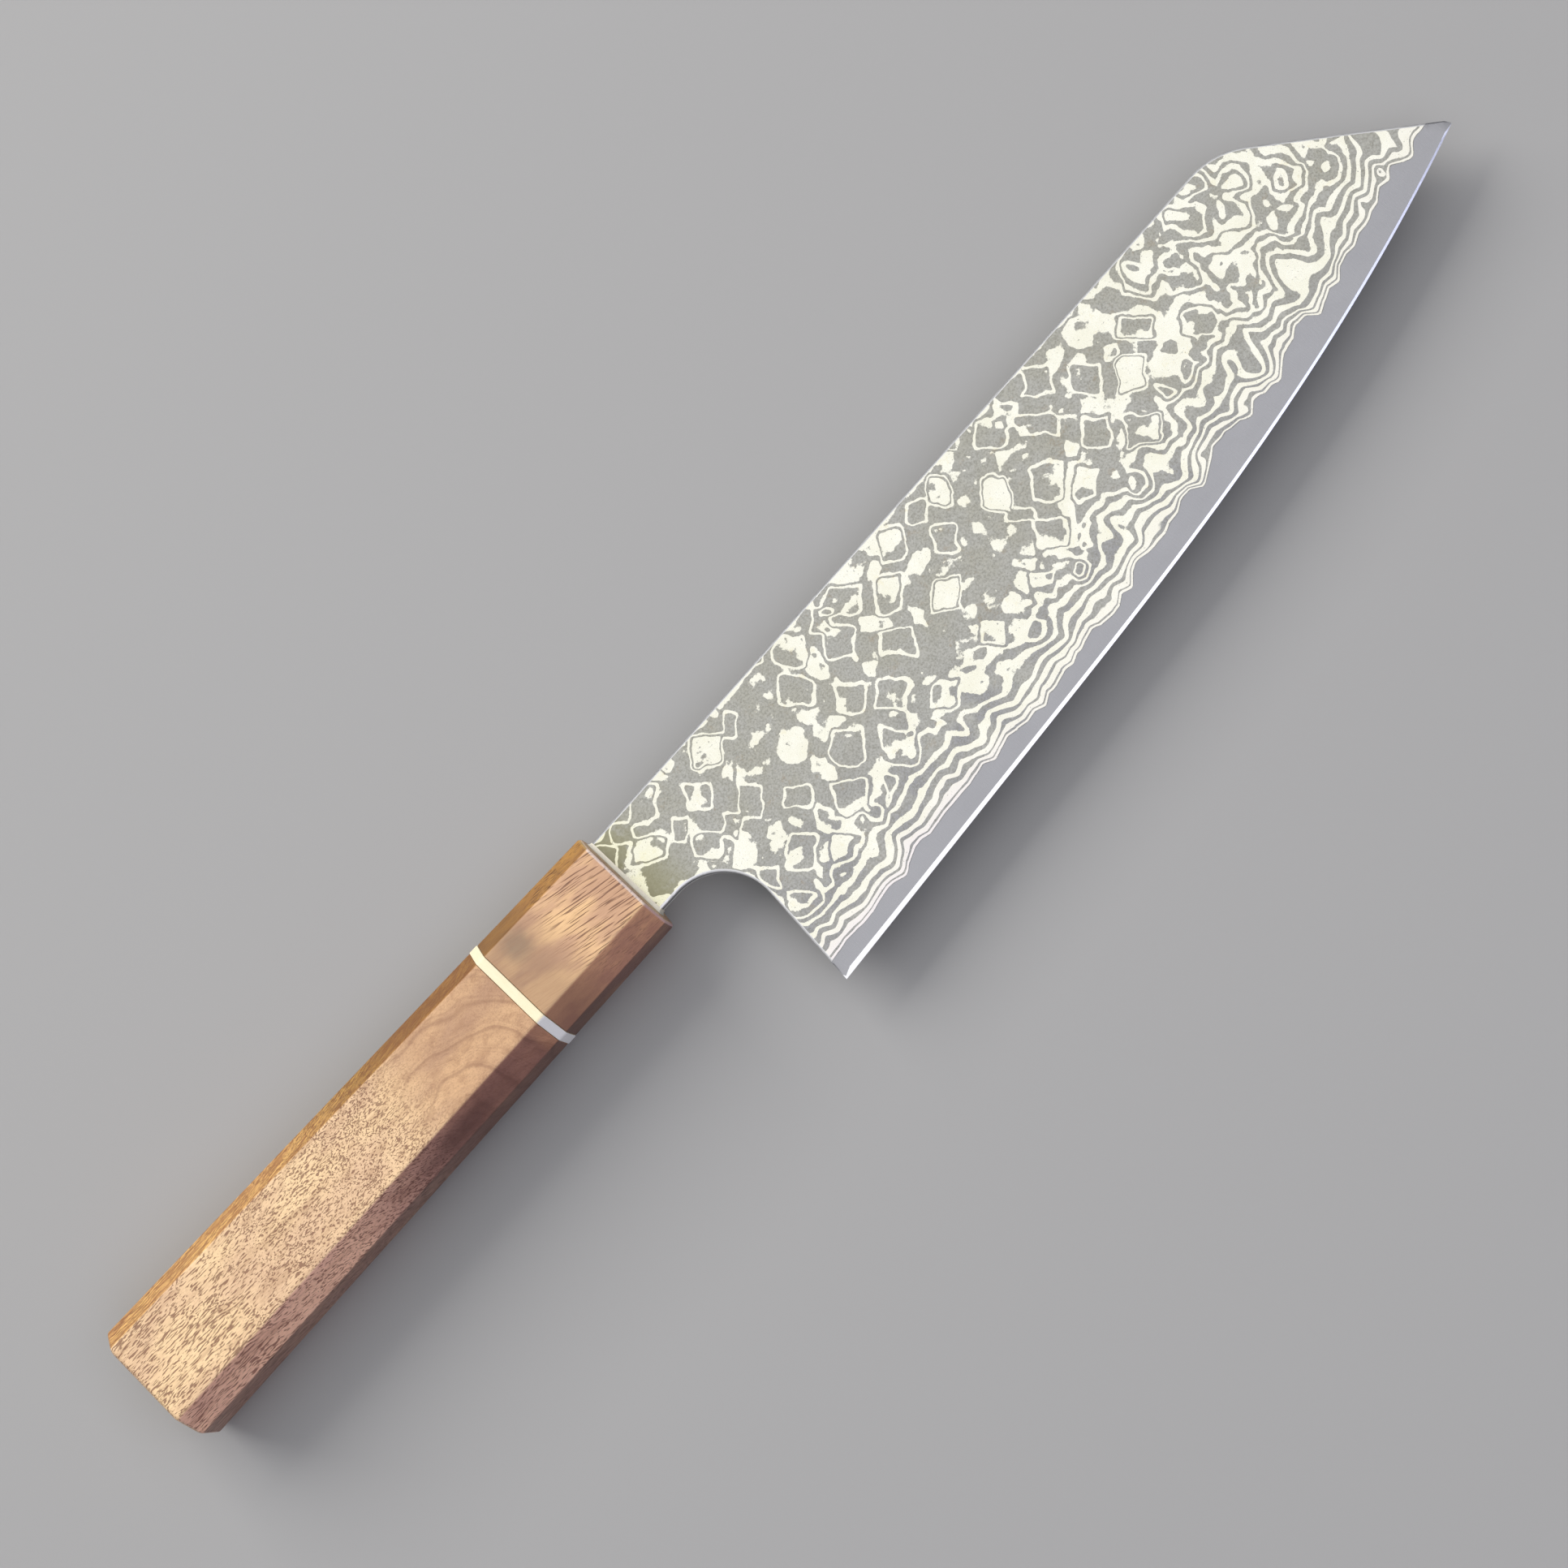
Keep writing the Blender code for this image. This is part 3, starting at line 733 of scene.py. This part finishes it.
def add_handle_body(materials):
    """Walnut handle with its dowel bore in front and a softly domed butt."""
    front = RING_X - RING_WIDTH - GLUE_LINE
    rings = [circle_ring(BODY_BORE_X, BORE_RADIUS), circle_ring(front, BORE_RADIUS)]
    rings += reversed(end_rings(front, GLUE_EASE, GLUE_EASE, 1, GLUE_STEPS))
    rings += even_rings(front - END_MARGIN, BUTT_DOME + END_MARGIN - HANDLE_LENGTH, BODY_RINGS)
    rings += end_rings(-HANDLE_LENGTH, BUTT_DOME, BUTT_INSET, -1, BUTT_STEPS)
    body = add_loft("walnut_body", rings, materials)
    settle(body, "walnut", "handle_body")


def add_ferrule(materials):
    """Walnut front piece with its dowel bore behind and the neck's slot in its face."""
    back = RING_X + GLUE_LINE
    rings = [circle_ring(-FERRULE_WALL, BORE_RADIUS), circle_ring(back, BORE_RADIUS)]
    rings += reversed(end_rings(back, GLUE_EASE, GLUE_EASE, -1, GLUE_STEPS))
    rings += even_rings(back + END_MARGIN, -FRONT_EASE - END_MARGIN, FERRULE_RINGS)
    rings += end_rings(0, FRONT_EASE, FRONT_EASE, 1, FRONT_STEPS)
    rings.reverse()
    ferrule = add_loft("walnut_ferrule", rings, materials)
    centre = (SPINE_Y + NECK_BOTTOM_Y) / 2
    half = (SPINE_Y - NECK_BOTTOM_Y) / 2 + SLOT_GAP
    half_width = SPINE_HALF + SLOT_GAP
    slot = []
    for x in (END_MARGIN, -SLOT_DEPTH):
        slot.append([(x, centre + sy * half, sz * half_width) for sy, sz in CORNERS])
    cutter = add_loft("slot_cutter", slot, [])
    cut = ferrule.modifiers.new("slot", "BOOLEAN")
    cut.object = cutter
    cut.solver = "EXACT"
    graph = bpy.context.evaluated_depsgraph_get()
    mesh = bpy.data.meshes.new_from_object(ferrule.evaluated_get(graph))
    ferrule.modifiers.clear()
    ferrule.data = mesh
    bpy.data.objects.remove(cutter)
    settle(ferrule, "walnut", "ferrule")


def add_ring(materials):
    """Pale spacer, a touch proud of the wood."""
    front, back = RING_X, RING_X - RING_WIDTH
    edge_inset = SPACER_EASE - RING_PROUD
    turns = [QUARTER_TURN * k / SPACER_STEPS for k in range(SPACER_STEPS + 1)]
    insets = [SPACER_EASE * (1 - math.sin(turn)) - RING_PROUD for turn in turns]
    depths = [SPACER_EASE * (1 - math.cos(turn)) for turn in turns]
    rings = [circle_ring(front, BORE_RADIUS), octagon_ring(front, edge_inset)]
    rings += [octagon_ring(front - depth, inset) for depth, inset in zip(depths, insets)]
    rings += [octagon_ring(back + depth, inset) for depth, inset in zip(depths[::-1], insets[::-1])]
    rings += [octagon_ring(back, edge_inset + SPACER_SUPPORT), circle_ring(back, BORE_RADIUS)]
    ring = add_loft("pale_ring", rings, materials, closed=True)
    settle(ring, "pale_spacer", "spacer_ring")


def add_seal(materials):
    """Concave bead of pale resin round the neck where it enters the ferrule."""
    centre = (SPINE_Y + NECK_BOTTOM_Y) / 2
    half_y, half_z = (SPINE_Y - NECK_BOTTOM_Y) / 2, SPINE_HALF
    profile = [(SEAL_GAP, 0.0)]
    for k in range(SEAL_STEPS + 1):
        turn = QUARTER_TURN * k / SEAL_STEPS
        reach = SEAL_LIP + (SEAL_FOOT - SEAL_LIP) * (1 - math.sin(turn))
        profile.append((SEAL_GAP + SEAL_LENGTH * (1 - math.cos(turn)), reach))
    profile.append((SEAL_GAP + SEAL_LENGTH, 0.0))
    rings = []
    for x, reach in profile:
        ring = []
        radius = SEAL_GAP + reach
        for quadrant, (sy, sz) in enumerate(CORNERS):
            for k in range(SEAL_TURN_STEPS + 1):
                turn = QUARTER_TURN * (quadrant + k / SEAL_TURN_STEPS)
                y = centre + sy * half_y + radius * math.cos(turn)
                z = sz * half_z + radius * math.sin(turn)
                ring.append((x, y, z))
        rings.append(ring)
    seal = add_loft("resin_bead", rings, materials, closed=True)
    settle(seal, "resin", "tang_seal")


# ---- materials

class Graph:
    """A material's node tree, with short calls for the nodes used here."""

    def __init__(self, name):
        self.material = bpy.data.materials.new(name)
        self.material.use_nodes = True
        self.nodes = self.material.node_tree.nodes
        self.links = self.material.node_tree.links
        self.shader = self.nodes["Principled BSDF"]

    def put(self, socket, value):
        """Link a socket, or set its own value."""
        if isinstance(value, bpy.types.NodeSocket):
            self.links.new(value, socket)
        elif isinstance(value, tuple) and len(value) == 3 and socket.type == "RGBA":
            socket.default_value = (*value, 1.0)
        else:
            socket.default_value = value

    def node(self, kind, inputs, **settings):
        made = self.nodes.new("ShaderNode" + kind)
        for key, value in settings.items():
            setattr(made, key, value)
        for key, value in inputs.items():
            self.put(made.inputs[key], value)
        return made

    def math(self, operation, a, b=0.0):
        return self.node("Math", {0: a, 1: b}, operation=operation).outputs[0]

    def times(self, a, b):
        return self.math("MULTIPLY", a, b)

    def plus(self, a, b):
        return self.math("ADD", a, b)

    def minus(self, a, b):
        return self.math("SUBTRACT", a, b)

    def vector(self, operation, a, b):
        return self.node("VectorMath", {0: a, 1: b}, operation=operation).outputs[0]

    def remap(self, value, low, high, to_low=0.0, to_high=1.0):
        """Smooth change from to_low to to_high as value goes from low to high."""
        inputs = {"Value": value, "From Min": low, "From Max": high, "To Min": to_low, "To Max": to_high}
        return self.node("MapRange", inputs, interpolation_type="SMOOTHSTEP").outputs[0]

    def mix(self, share, a, b, blend="MIX"):
        made = self.node("Mix", {}, data_type="RGBA", blend_type=blend)
        self.put(made.inputs["Factor"], share)
        self.put(made.inputs[6], a)
        self.put(made.inputs[7], b)
        return made.outputs[2]

    def attribute(self, name):
        return self.node("Attribute", {}, attribute_name=name).outputs["Fac"]

    def place(self, scale=(1, 1, 1), turn=(0, 0, 0)):
        """Design coordinates in millimetres from the ferrule's front, then turned and scaled."""
        where = self.node("TexCoord", {}).outputs["Object"]
        inputs = {"Vector": self.vector("SUBTRACT", where, tuple(ORIGIN)), "Rotation": turn}
        inputs["Scale"] = tuple(s / MM for s in scale)
        return self.node("Mapping", inputs).outputs[0]

    def axis(self, name):
        """One design coordinate in millimetres."""
        return self.node("SeparateXYZ", {0: self.place()}).outputs[name]

    def along(self, *limits):
        """Smooth change along the knife, with remap's limits."""
        return self.remap(self.axis("X"), *limits)

    def facing(self, name):
        """How far the surface faces along one of the object's own axes, from -1 to 1."""
        normal = self.node("TexCoord", {}).outputs["Normal"]
        return self.node("SeparateXYZ", {0: normal}).outputs[name]

    def fibres(self, grain, scale, *settings):
        """Noise drawn out along the grain."""
        return self.noise(self.vector("MULTIPLY", grain, scale), 1.0, *settings)

    def sheared(self, rise):
        """Design coordinates whose z has been lifted by rise."""
        lift = self.node("CombineXYZ", {"Z": rise}).outputs[0]
        return self.vector("ADD", self.place(), lift)

    def distance(self, centre, stretch):
        """Distance from a place, in units of stretch along each axis; a stretch of 0 leaves an axis out."""
        shares = tuple(1 / size if size else 0.0 for size in stretch)
        squashed = self.vector("MULTIPLY", self.vector("SUBTRACT", self.place(), centre), shares)
        return self.node("VectorMath", {0: squashed}, operation="LENGTH").outputs["Value"]

    def near(self, centre, reach, unevenness):
        """Soft spot: 1 at its centre, 0 past its reach."""
        uneven = self.minus(self.noise(self.place(), 0.35, 3.0, 0.6), 0.5)
        away = self.plus(self.distance(centre, reach), self.times(uneven, 2 * unevenness))
        return self.remap(away, 0.2, 1.0, 1.0, 0.0)

    def knot_figure(self, centre, stretch):
        """Curved lines round a knot's axis, which runs along z."""
        away = self.distance((*centre, 0.0), (stretch, 1.0, 0))
        warp = self.times(self.noise(self.place(), 0.10, 1.0, 0.5), 5.0)
        rings = self.node("CombineXYZ", {"X": self.plus(away, warp)}).outputs[0]
        return self.remap(self.noise(rings, 0.55, 3.0, 0.6), 0.44, 0.70)

    def noise(self, where, scale, detail, roughness, distortion=0.0):
        inputs = {"Vector": where, "Scale": scale, "Detail": detail, "Roughness": roughness}
        inputs["Distortion"] = distortion
        return self.node("TexNoise", inputs).outputs["Fac"]

    def bump(self, relief, depth):
        inputs = {"Height": relief, "Distance": depth * MM, "Strength": 1.0}
        return self.node("Bump", inputs).outputs[0]

    def finish(self, **inputs):
        for key, value in inputs.items():
            self.put(self.shader.inputs[key.replace("_", " ")], value)
        return self.material


def patterned_steel():
    """Etched dark steel and bright nickel, told apart by the layer count on the mesh."""
    g = Graph("etched_pattern")
    layers, half_width, rim = g.attribute("layers"), g.attribute("half_width"), g.attribute("rim")
    jitter = g.minus(g.noise(g.place(), 1.5, 4.0, 0.75), 0.5)
    jitter = g.times(jitter, g.remap(layers, 2.0, 5.0, 0.04, 0.28))
    fraction = g.math("FRACT", g.plus(layers, jitter))
    off_centre = g.math("ABSOLUTE", g.minus(fraction, 0.5))
    inside_line = g.minus(half_width, off_centre)
    nickel = g.remap(inside_line, -0.02, 0.02)
    # paler near the rims: partly the real polish of the eased spine and choil, partly a painted highlight
    # for the bright spine line
    polished = g.remap(rim, 0.46, 0.36)
    cloud = g.noise(g.place(), 0.16, 4.0, 0.6)
    grain = g.noise(g.place(), 5.0, 4.0, 0.7)
    fine = g.noise(g.place(), 2.6, 3.0, 0.6)
    height_tint = g.remap(g.axis("Y"), -26.0, -8.0)
    steel = g.mix(height_tint, (0.335, 0.335, 0.350), (0.445, 0.435, 0.375))
    steel = g.mix(g.remap(cloud, 0.35, 0.65), steel, (0.47, 0.465, 0.43))
    steel = g.mix(g.remap(fine, 0.35, 0.7, 0.0, 0.65), steel, (0.23, 0.225, 0.19))
    steel = g.mix(g.remap(grain, 0.45, 0.75, 0.0, 0.7), steel, (0.54, 0.54, 0.51))
    light = g.mix(g.remap(cloud, 0.3, 0.7), (0.90, 0.885, 0.75), (0.97, 0.96, 0.86))
    light = g.mix(g.remap(grain, 0.35, 0.65, 0.35, 0.0), light, (0.68, 0.66, 0.54))
    pits = g.remap(fine, 0.66, 0.70, 1.0, 0.25)
    nickel = g.times(nickel, pits)
    rusty = g.remap(g.noise(g.place(), 0.45, 4.0, 0.7), 0.58, 0.70)
    rust = g.times(rusty, g.remap(layers, 3.0, 6.0, 0.0, 0.35))
    steel = g.mix(rust, steel, (0.36, 0.29, 0.20))
    light = g.mix(g.times(rust, 0.7), light, (0.80, 0.72, 0.42))
    towards_heel = g.along(40.0, 80.0, 1.0, 0.25)
    rosy = g.times(g.remap(layers, 0.5, 3.5, 0.8, 0.0), towards_heel)
    light = g.mix(rosy, light, (0.86, 0.80, 0.82))
    near_neck = g.times(g.along(13.0, 2.0), g.remap(cloud, 0.42, 0.55, 0.25, 0.8))
    steel = g.mix(near_neck, steel, (0.30, 0.285, 0.165))
    light = g.mix(g.times(near_neck, 0.6), light, (0.80, 0.77, 0.45))
    colour = g.mix(nickel, steel, light)
    # the rims' polish and painted highlight
    colour = g.mix(polished, colour, (0.86, 0.86, 0.85))
    rough = g.remap(nickel, 0, 1, 0.37, 0.27)
    rough = g.plus(rough, g.times(g.minus(grain, 0.5), 0.12))
    rough = g.plus(rough, g.times(polished, 0.2))
    relief = g.plus(g.times(nickel, 0.7), g.times(grain, 0.25))
    return g.finish(Base_Color=colour, Metallic=1.0, Roughness=rough, Normal=g.bump(relief, 0.012))


def core_band():
    """Smoothly ground core steel with faint cross-wise grinding marks."""
    g = Graph("ground_core")
    cloud = g.noise(g.place((0.3, 0.6, 0.6)), 0.3, 3.0, 0.6)
    marks = g.noise(g.place((9, 0.5, 0.5)), 1.0, 3.0, 0.6)
    colour = g.mix(cloud, (0.345, 0.345, 0.365), (0.395, 0.395, 0.415))
    rough = g.remap(marks, 0.3, 0.7, 0.26, 0.34)
    return g.finish(Base_Color=colour, Metallic=1.0, Roughness=rough, Normal=g.bump(marks, 0.002))


def bright_bevel():
    """Freshly sharpened bevel."""
    g = Graph("sharpened_bevel")
    marks = g.noise(g.place((12, 1.5, 1)), 1.0, 3.0, 0.6)
    colour = g.mix(marks, (0.84, 0.84, 0.87), (0.96, 0.96, 0.97))
    colour = g.mix(g.along(60.0, 150.0), colour, (0.62, 0.65, 0.76))
    rough = g.remap(marks, 0.3, 0.7, 0.2, 0.3)
    return g.finish(Base_Color=colour, Metallic=1.0, Roughness=rough, Normal=g.bump(marks, 0.002))


UPPER_FACETS, LOWER_FACETS = (0.30, 0.72), (-0.30, -0.72)   # from level to fully sloping


def painted_facet_light_and_shade(g, wood):
    """Painted light and shade by facet: the upper facets are painted golden as warm light from the spine's
    side, the lower ones mauve and the lowest side dark as painted shade, all of them darker towards the
    front.
    """
    across = g.facing("Y")
    ahead = g.along(-80.0, -55.0)
    # painted warm light on the upper facets
    golden = g.mix(ahead, (0.86, 0.71, 0.41), (0.53, 0.41, 0.17))
    golden = g.mix(1.0, wood, golden, "MULTIPLY")
    # painted cool shade on the lower facets, in another tone on the ferrule
    mauve = g.mix(ahead, (1.06, 0.88, 1.10), (0.56, 0.42, 0.56))
    mauve = g.mix(g.along(-31.0, -29.0), mauve, (0.86, 0.69, 0.77))
    mauve = g.mix(1.0, wood, mauve, "MULTIPLY")
    # deeper painted shade on the lowest side facet
    dark = g.mix(ahead, (0.46, 0.37, 0.48), (0.38, 0.30, 0.38))
    dark = g.mix(1.0, wood, dark, "MULTIPLY")
    wood = g.mix(g.remap(across, *UPPER_FACETS), wood, golden)
    wood = g.mix(g.remap(across, *LOWER_FACETS), wood, mauve)
    return g.mix(g.remap(across, -0.88, -0.97), wood, dark)


def golden_streaks(g, grain, wood):
    """Long brown streaks on the upper facets."""
    lines = g.fibres(grain, (0.05, 1.5, 1.5), 3.0, 0.6)
    upper = g.remap(g.facing("Y"), *UPPER_FACETS)
    share = g.times(g.remap(lines, 0.46, 0.58), g.times(upper, 0.7))
    return g.mix(share, wood, (0.36, 0.17, 0.10))


def finish_wood(g, wood, pores, fibre):
    """Oiled surface whose pores lie a little deeper than the fibres."""
    rough = g.remap(fibre, 0.3, 0.7, 0.42, 0.56)
    relief = g.minus(g.times(fibre, 0.25), pores)
    normal = g.bump(relief, 0.05)
    # the wood's colour gets the facets' painted light and shade
    return g.finish(Base_Color=painted_facet_light_and_shade(g, wood), Roughness=rough, Normal=normal,
                    Coat_Weight=0.06, Coat_Roughness=0.35)


def body_walnut():
    """Handle's walnut: the grain dives under the face, so pores are dashes behind and dots ahead."""
    g = Graph("body_walnut")
    bend_start, bend_radius = -122.0, 120.0
    along = g.minus(g.axis("X"), bend_start)
    dive = g.math("DIVIDE", g.times(along, along), 2 * bend_radius)
    sway = g.times(g.minus(g.noise(g.place(), 0.09, 3.0, 0.5), 0.5), 5.0)
    grain = g.sheared(g.plus(dive, sway))
    near_butt = g.along(-98.0, -84.0, 1.0, 0.0)
    near_ring = g.along(-62.0, -44.0)

    dashes = g.fibres(grain, (0.5, 4.0, 4.0), 2.0, 0.5)
    flecks = g.fibres(grain, (1.0, 3.4, 3.4), 2.0, 0.6, 0.4)
    clumps = g.fibres(grain, (0.12, 0.3, 0.3), 3.0, 0.6)
    dashes = g.times(dashes, near_butt)
    flecks = g.times(flecks, g.minus(1.0, near_butt))
    pores = g.plus(dashes, flecks)
    threshold = g.remap(clumps, 0.3, 0.7, 0.03, -0.03)
    pores = g.remap(g.minus(pores, threshold), 0.52, 0.60)
    pores = g.times(pores, g.remap(near_ring, 0, 1, 1.0, 0.22))

    fibre = g.fibres(grain, (0.3, 6.0, 6.0), 4.0, 0.7)
    streaks = g.fibres(grain, (0.03, 0.55, 0.55), 4.0, 0.6)
    cloud = g.noise(g.place((0.05, 0.11, 0.11)), 1.0, 3.0, 0.55)
    rear = g.mix(g.remap(cloud, 0.35, 0.65), (0.80, 0.55, 0.34), (0.94, 0.68, 0.39))
    front = g.mix(g.remap(cloud, 0.35, 0.65), (0.50, 0.30, 0.18), (0.70, 0.44, 0.24))
    wood = g.mix(near_ring, rear, front)
    wood = g.mix(g.remap(streaks, 0.46, 0.68, 0.0, 0.40), wood, (0.36, 0.19, 0.10))
    figure = g.knot_figure((-48.0, -11.0), 1.35)
    wood = g.mix(g.times(figure, g.times(near_ring, 0.55)), wood, (0.27, 0.135, 0.075))
    wood = g.mix(g.times(g.remap(fibre, 0.4, 0.7), 0.3), wood, (0.38, 0.19, 0.10))
    shadow = g.near((-50.0, -11.5, 6.0), (17.0, 5.0, 4.0), 0.35)
    wood = g.mix(g.times(shadow, 0.6), wood, (0.13, 0.06, 0.04))
    wood = g.mix(g.times(pores, 0.80), wood, (0.20, 0.085, 0.048))
    wood = golden_streaks(g, grain, wood)
    return finish_wood(g, wood, pores, fibre)


def ferrule_walnut():
    """Ferrule's walnut: long open pores slant across its front half, behind them a grey cloud, and a painted
    highlight along its rounded front edge.
    """
    g = Graph("ferrule_walnut")
    slant = math.radians(13)
    grain = g.place(turn=(0, 0, slant))
    front = g.along(-19.0, -10.0)
    lines = g.fibres(grain, (0.17, 3.3, 3.3), 2.0, 0.45)
    top_only = g.remap(g.facing("Y"), *LOWER_FACETS, 1.0, 0.35)
    pores = g.times(g.remap(lines, 0.55, 0.64), g.remap(front, 0, 1, 0.08, 1.0))
    pores = g.times(pores, top_only)
    fibre = g.fibres(grain, (0.3, 6.0, 6.0), 4.0, 0.7)
    cloud = g.fibres(grain, (0.07, 0.16, 0.16), 3.0, 0.6)
    behind = g.mix(g.remap(cloud, 0.38, 0.62), (0.37, 0.22, 0.135), (0.51, 0.32, 0.175))
    ahead = g.mix(g.remap(cloud, 0.38, 0.62), (0.60, 0.36, 0.22), (0.86, 0.56, 0.29))
    wood = g.mix(g.along(-21.0, -11.0), behind, ahead)
    smudge = g.near((-20.5, 4.5, 8.8), (4.2, 4.0, 3.0), 0.25)
    wood = g.mix(g.times(smudge, 0.62), wood, (0.225, 0.165, 0.115))
    wood = g.mix(g.times(g.remap(fibre, 0.4, 0.7), 0.3), wood, (0.34, 0.18, 0.10))
    wood = g.mix(g.times(pores, 0.82), wood, (0.17, 0.075, 0.042))
    # painted highlight: pale along the rounded front edge, but not on the front face itself
    painted_edge_highlight = g.times(g.remap(g.facing("X"), 0.10, 0.45), g.remap(g.facing("X"), 0.98, 0.80))
    wood = g.mix(g.times(painted_edge_highlight, 0.55), wood, (0.92, 0.84, 0.82))
    return finish_wood(g, wood, pores, fibre)


def ivory():
    """Pale spacer with faint streaks and a painted cool reflection on its lower facets."""
    g = Graph("pale_spacer")
    streaks = g.noise(g.place((1.5, 0.4, 0.4)), 1.0, 4.0, 0.6)
    colour = g.mix(streaks, (0.86, 0.76, 0.50), (0.94, 0.86, 0.62))
    # painted reflection: the lower facets turn near white, as if mirroring a cool light
    colour = g.mix(g.remap(g.facing("Y"), *LOWER_FACETS), colour, (0.97, 0.96, 0.98))
    return g.finish(Base_Color=colour, Roughness=g.remap(streaks, 0.3, 0.7, 0.28, 0.4),
                    Normal=g.bump(streaks, 0.004))


def pale_resin():
    g = Graph("pale_resin")
    cloud = g.noise(g.place(), 0.9, 3.0, 0.6)
    colour = g.mix(cloud, (0.80, 0.76, 0.62), (0.95, 0.92, 0.80))
    return g.finish(Base_Color=colour, Roughness=g.remap(cloud, 0.3, 0.7, 0.25, 0.45),
                    Normal=g.bump(cloud, 0.01))


def plain_dowel():
    g = Graph("dowel_grain")
    fibre = g.noise(g.place((0.3, 3.0, 3.0)), 1.0, 4.0, 0.65)
    colour = g.mix(fibre, (0.42, 0.27, 0.14), (0.66, 0.48, 0.30))
    return g.finish(Base_Color=colour, Roughness=g.remap(fibre, 0.3, 0.7, 0.5, 0.65),
                    Normal=g.bump(fibre, 0.02))


def dress_node(node, material):
    """Give a carried-over CAD node its procedural material."""
    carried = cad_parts[node]
    carried.data.materials.clear()
    carried.data.materials.append(material)


# ---- studio

AIM = Vector((31.0, -8.7, 0.0))
CAMERA_DISTANCE = 600.0
CAMERA_TILT, CAMERA_LEAN, CAMERA_ROLL = 13.17, 0.29, 47.22
LENS, SENSOR = 79.5, 36.0


def to_world(point):
    return Vector(np.array(point, float) * MM + ORIGIN)


def add_camera():
    """Camera over the blade, tilted towards the edge, with the knife running up to the right."""
    tilt, lean, roll = (math.radians(a) for a in (CAMERA_TILT, CAMERA_LEAN, CAMERA_ROLL))
    back = Vector((math.sin(lean), -math.sin(tilt) * math.cos(lean), math.cos(tilt) * math.cos(lean)))
    along = (Vector((1, 0, 0)) - back * back.x).normalized()
    across = back.cross(along)
    right = math.cos(roll) * along - math.sin(roll) * across
    up = math.sin(roll) * along + math.cos(roll) * across
    pose = Matrix((right, up, back)).transposed().to_4x4()
    pose.translation = to_world(AIM + CAMERA_DISTANCE * back)
    data = bpy.data.cameras.new("camera")
    data.lens, data.sensor_width = LENS, SENSOR
    camera = link("camera", data)
    camera.matrix_world = pose
    bpy.context.scene.camera = camera


def add_softbox(name, place, size, watts, colour=(1, 1, 1), mirrored=True):
    """Area light in metres, aimed at the knife's middle; an unmirrored one shows in no polished face."""
    data = bpy.data.lights.new(name, "AREA")
    data.shape = "RECTANGLE"
    data.size, data.size_y = size
    data.energy = watts
    data.color = colour
    light = link(name, data)
    light.location = place
    light.visible_glossy = mirrored
    light.rotation_mode = "QUATERNION"
    light.rotation_quaternion = Vector(place).to_track_quat("Z", "Y")


def add_floor():
    """Wide pale floor at the knife's lowest point."""
    reach = 3.0
    mesh = bpy.data.meshes.new("floor")
    corners = [(-reach, -reach, 0), (reach, -reach, 0), (reach, reach, 0), (-reach, reach, 0)]
    mesh.from_pydata(corners, [], [(0, 1, 2, 3)])
    floor = link("floor", mesh)
    g = Graph("pale_floor")
    mesh.materials.append(g.finish(Base_Color=(0.36, 0.36, 0.36), Roughness=0.85))


def add_world():
    world = bpy.data.worlds.new("studio")
    world.use_nodes = True
    background = world.node_tree.nodes["Background"]
    background.inputs["Color"].default_value = (0.86, 0.86, 0.92, 1)
    background.inputs["Strength"].default_value = 0.22
    bpy.context.scene.world = world


def main():
    add_camera()
    add_floor()
    add_world()
    add_softbox("overhead", (0.0, 0.2, 1.1), (1.6, 1.5), 7.0)
    above_spine = ((-0.3, 1.5, 1.1), (1.5, 1.1))
    add_softbox("key", *above_spine, 30.0, (1.0, 0.97, 0.93), mirrored=False)
    add_softbox("rim", *above_spine, 7.0)   # the weak copy of the key that polished faces mirror
    add_softbox("fill", (0.15, -0.65, 1.05), (1.2, 0.5), 3.0, (0.86, 0.86, 1.0))
    bpy.context.scene.view_settings.view_transform = "Standard"

    patterns = {RIGHT: Pattern(12), LEFT: Pattern(61)}
    etched = patterned_steel()
    add_cladding("right_patterned_ply", RIGHT, patterns[RIGHT], "cladding_right", [etched])
    add_cladding("left_patterned_ply", LEFT, patterns[LEFT], "cladding_left", [etched])
    add_core(patterns, [core_band(), bright_bevel()])
    add_handle_body([body_walnut()])
    add_ferrule([ferrule_walnut()])
    add_ring([ivory()])
    add_seal([pale_resin()])
    dress_node("handle_dowel", plain_dowel())
    dress_node("tang_bedding", pale_resin())


main()
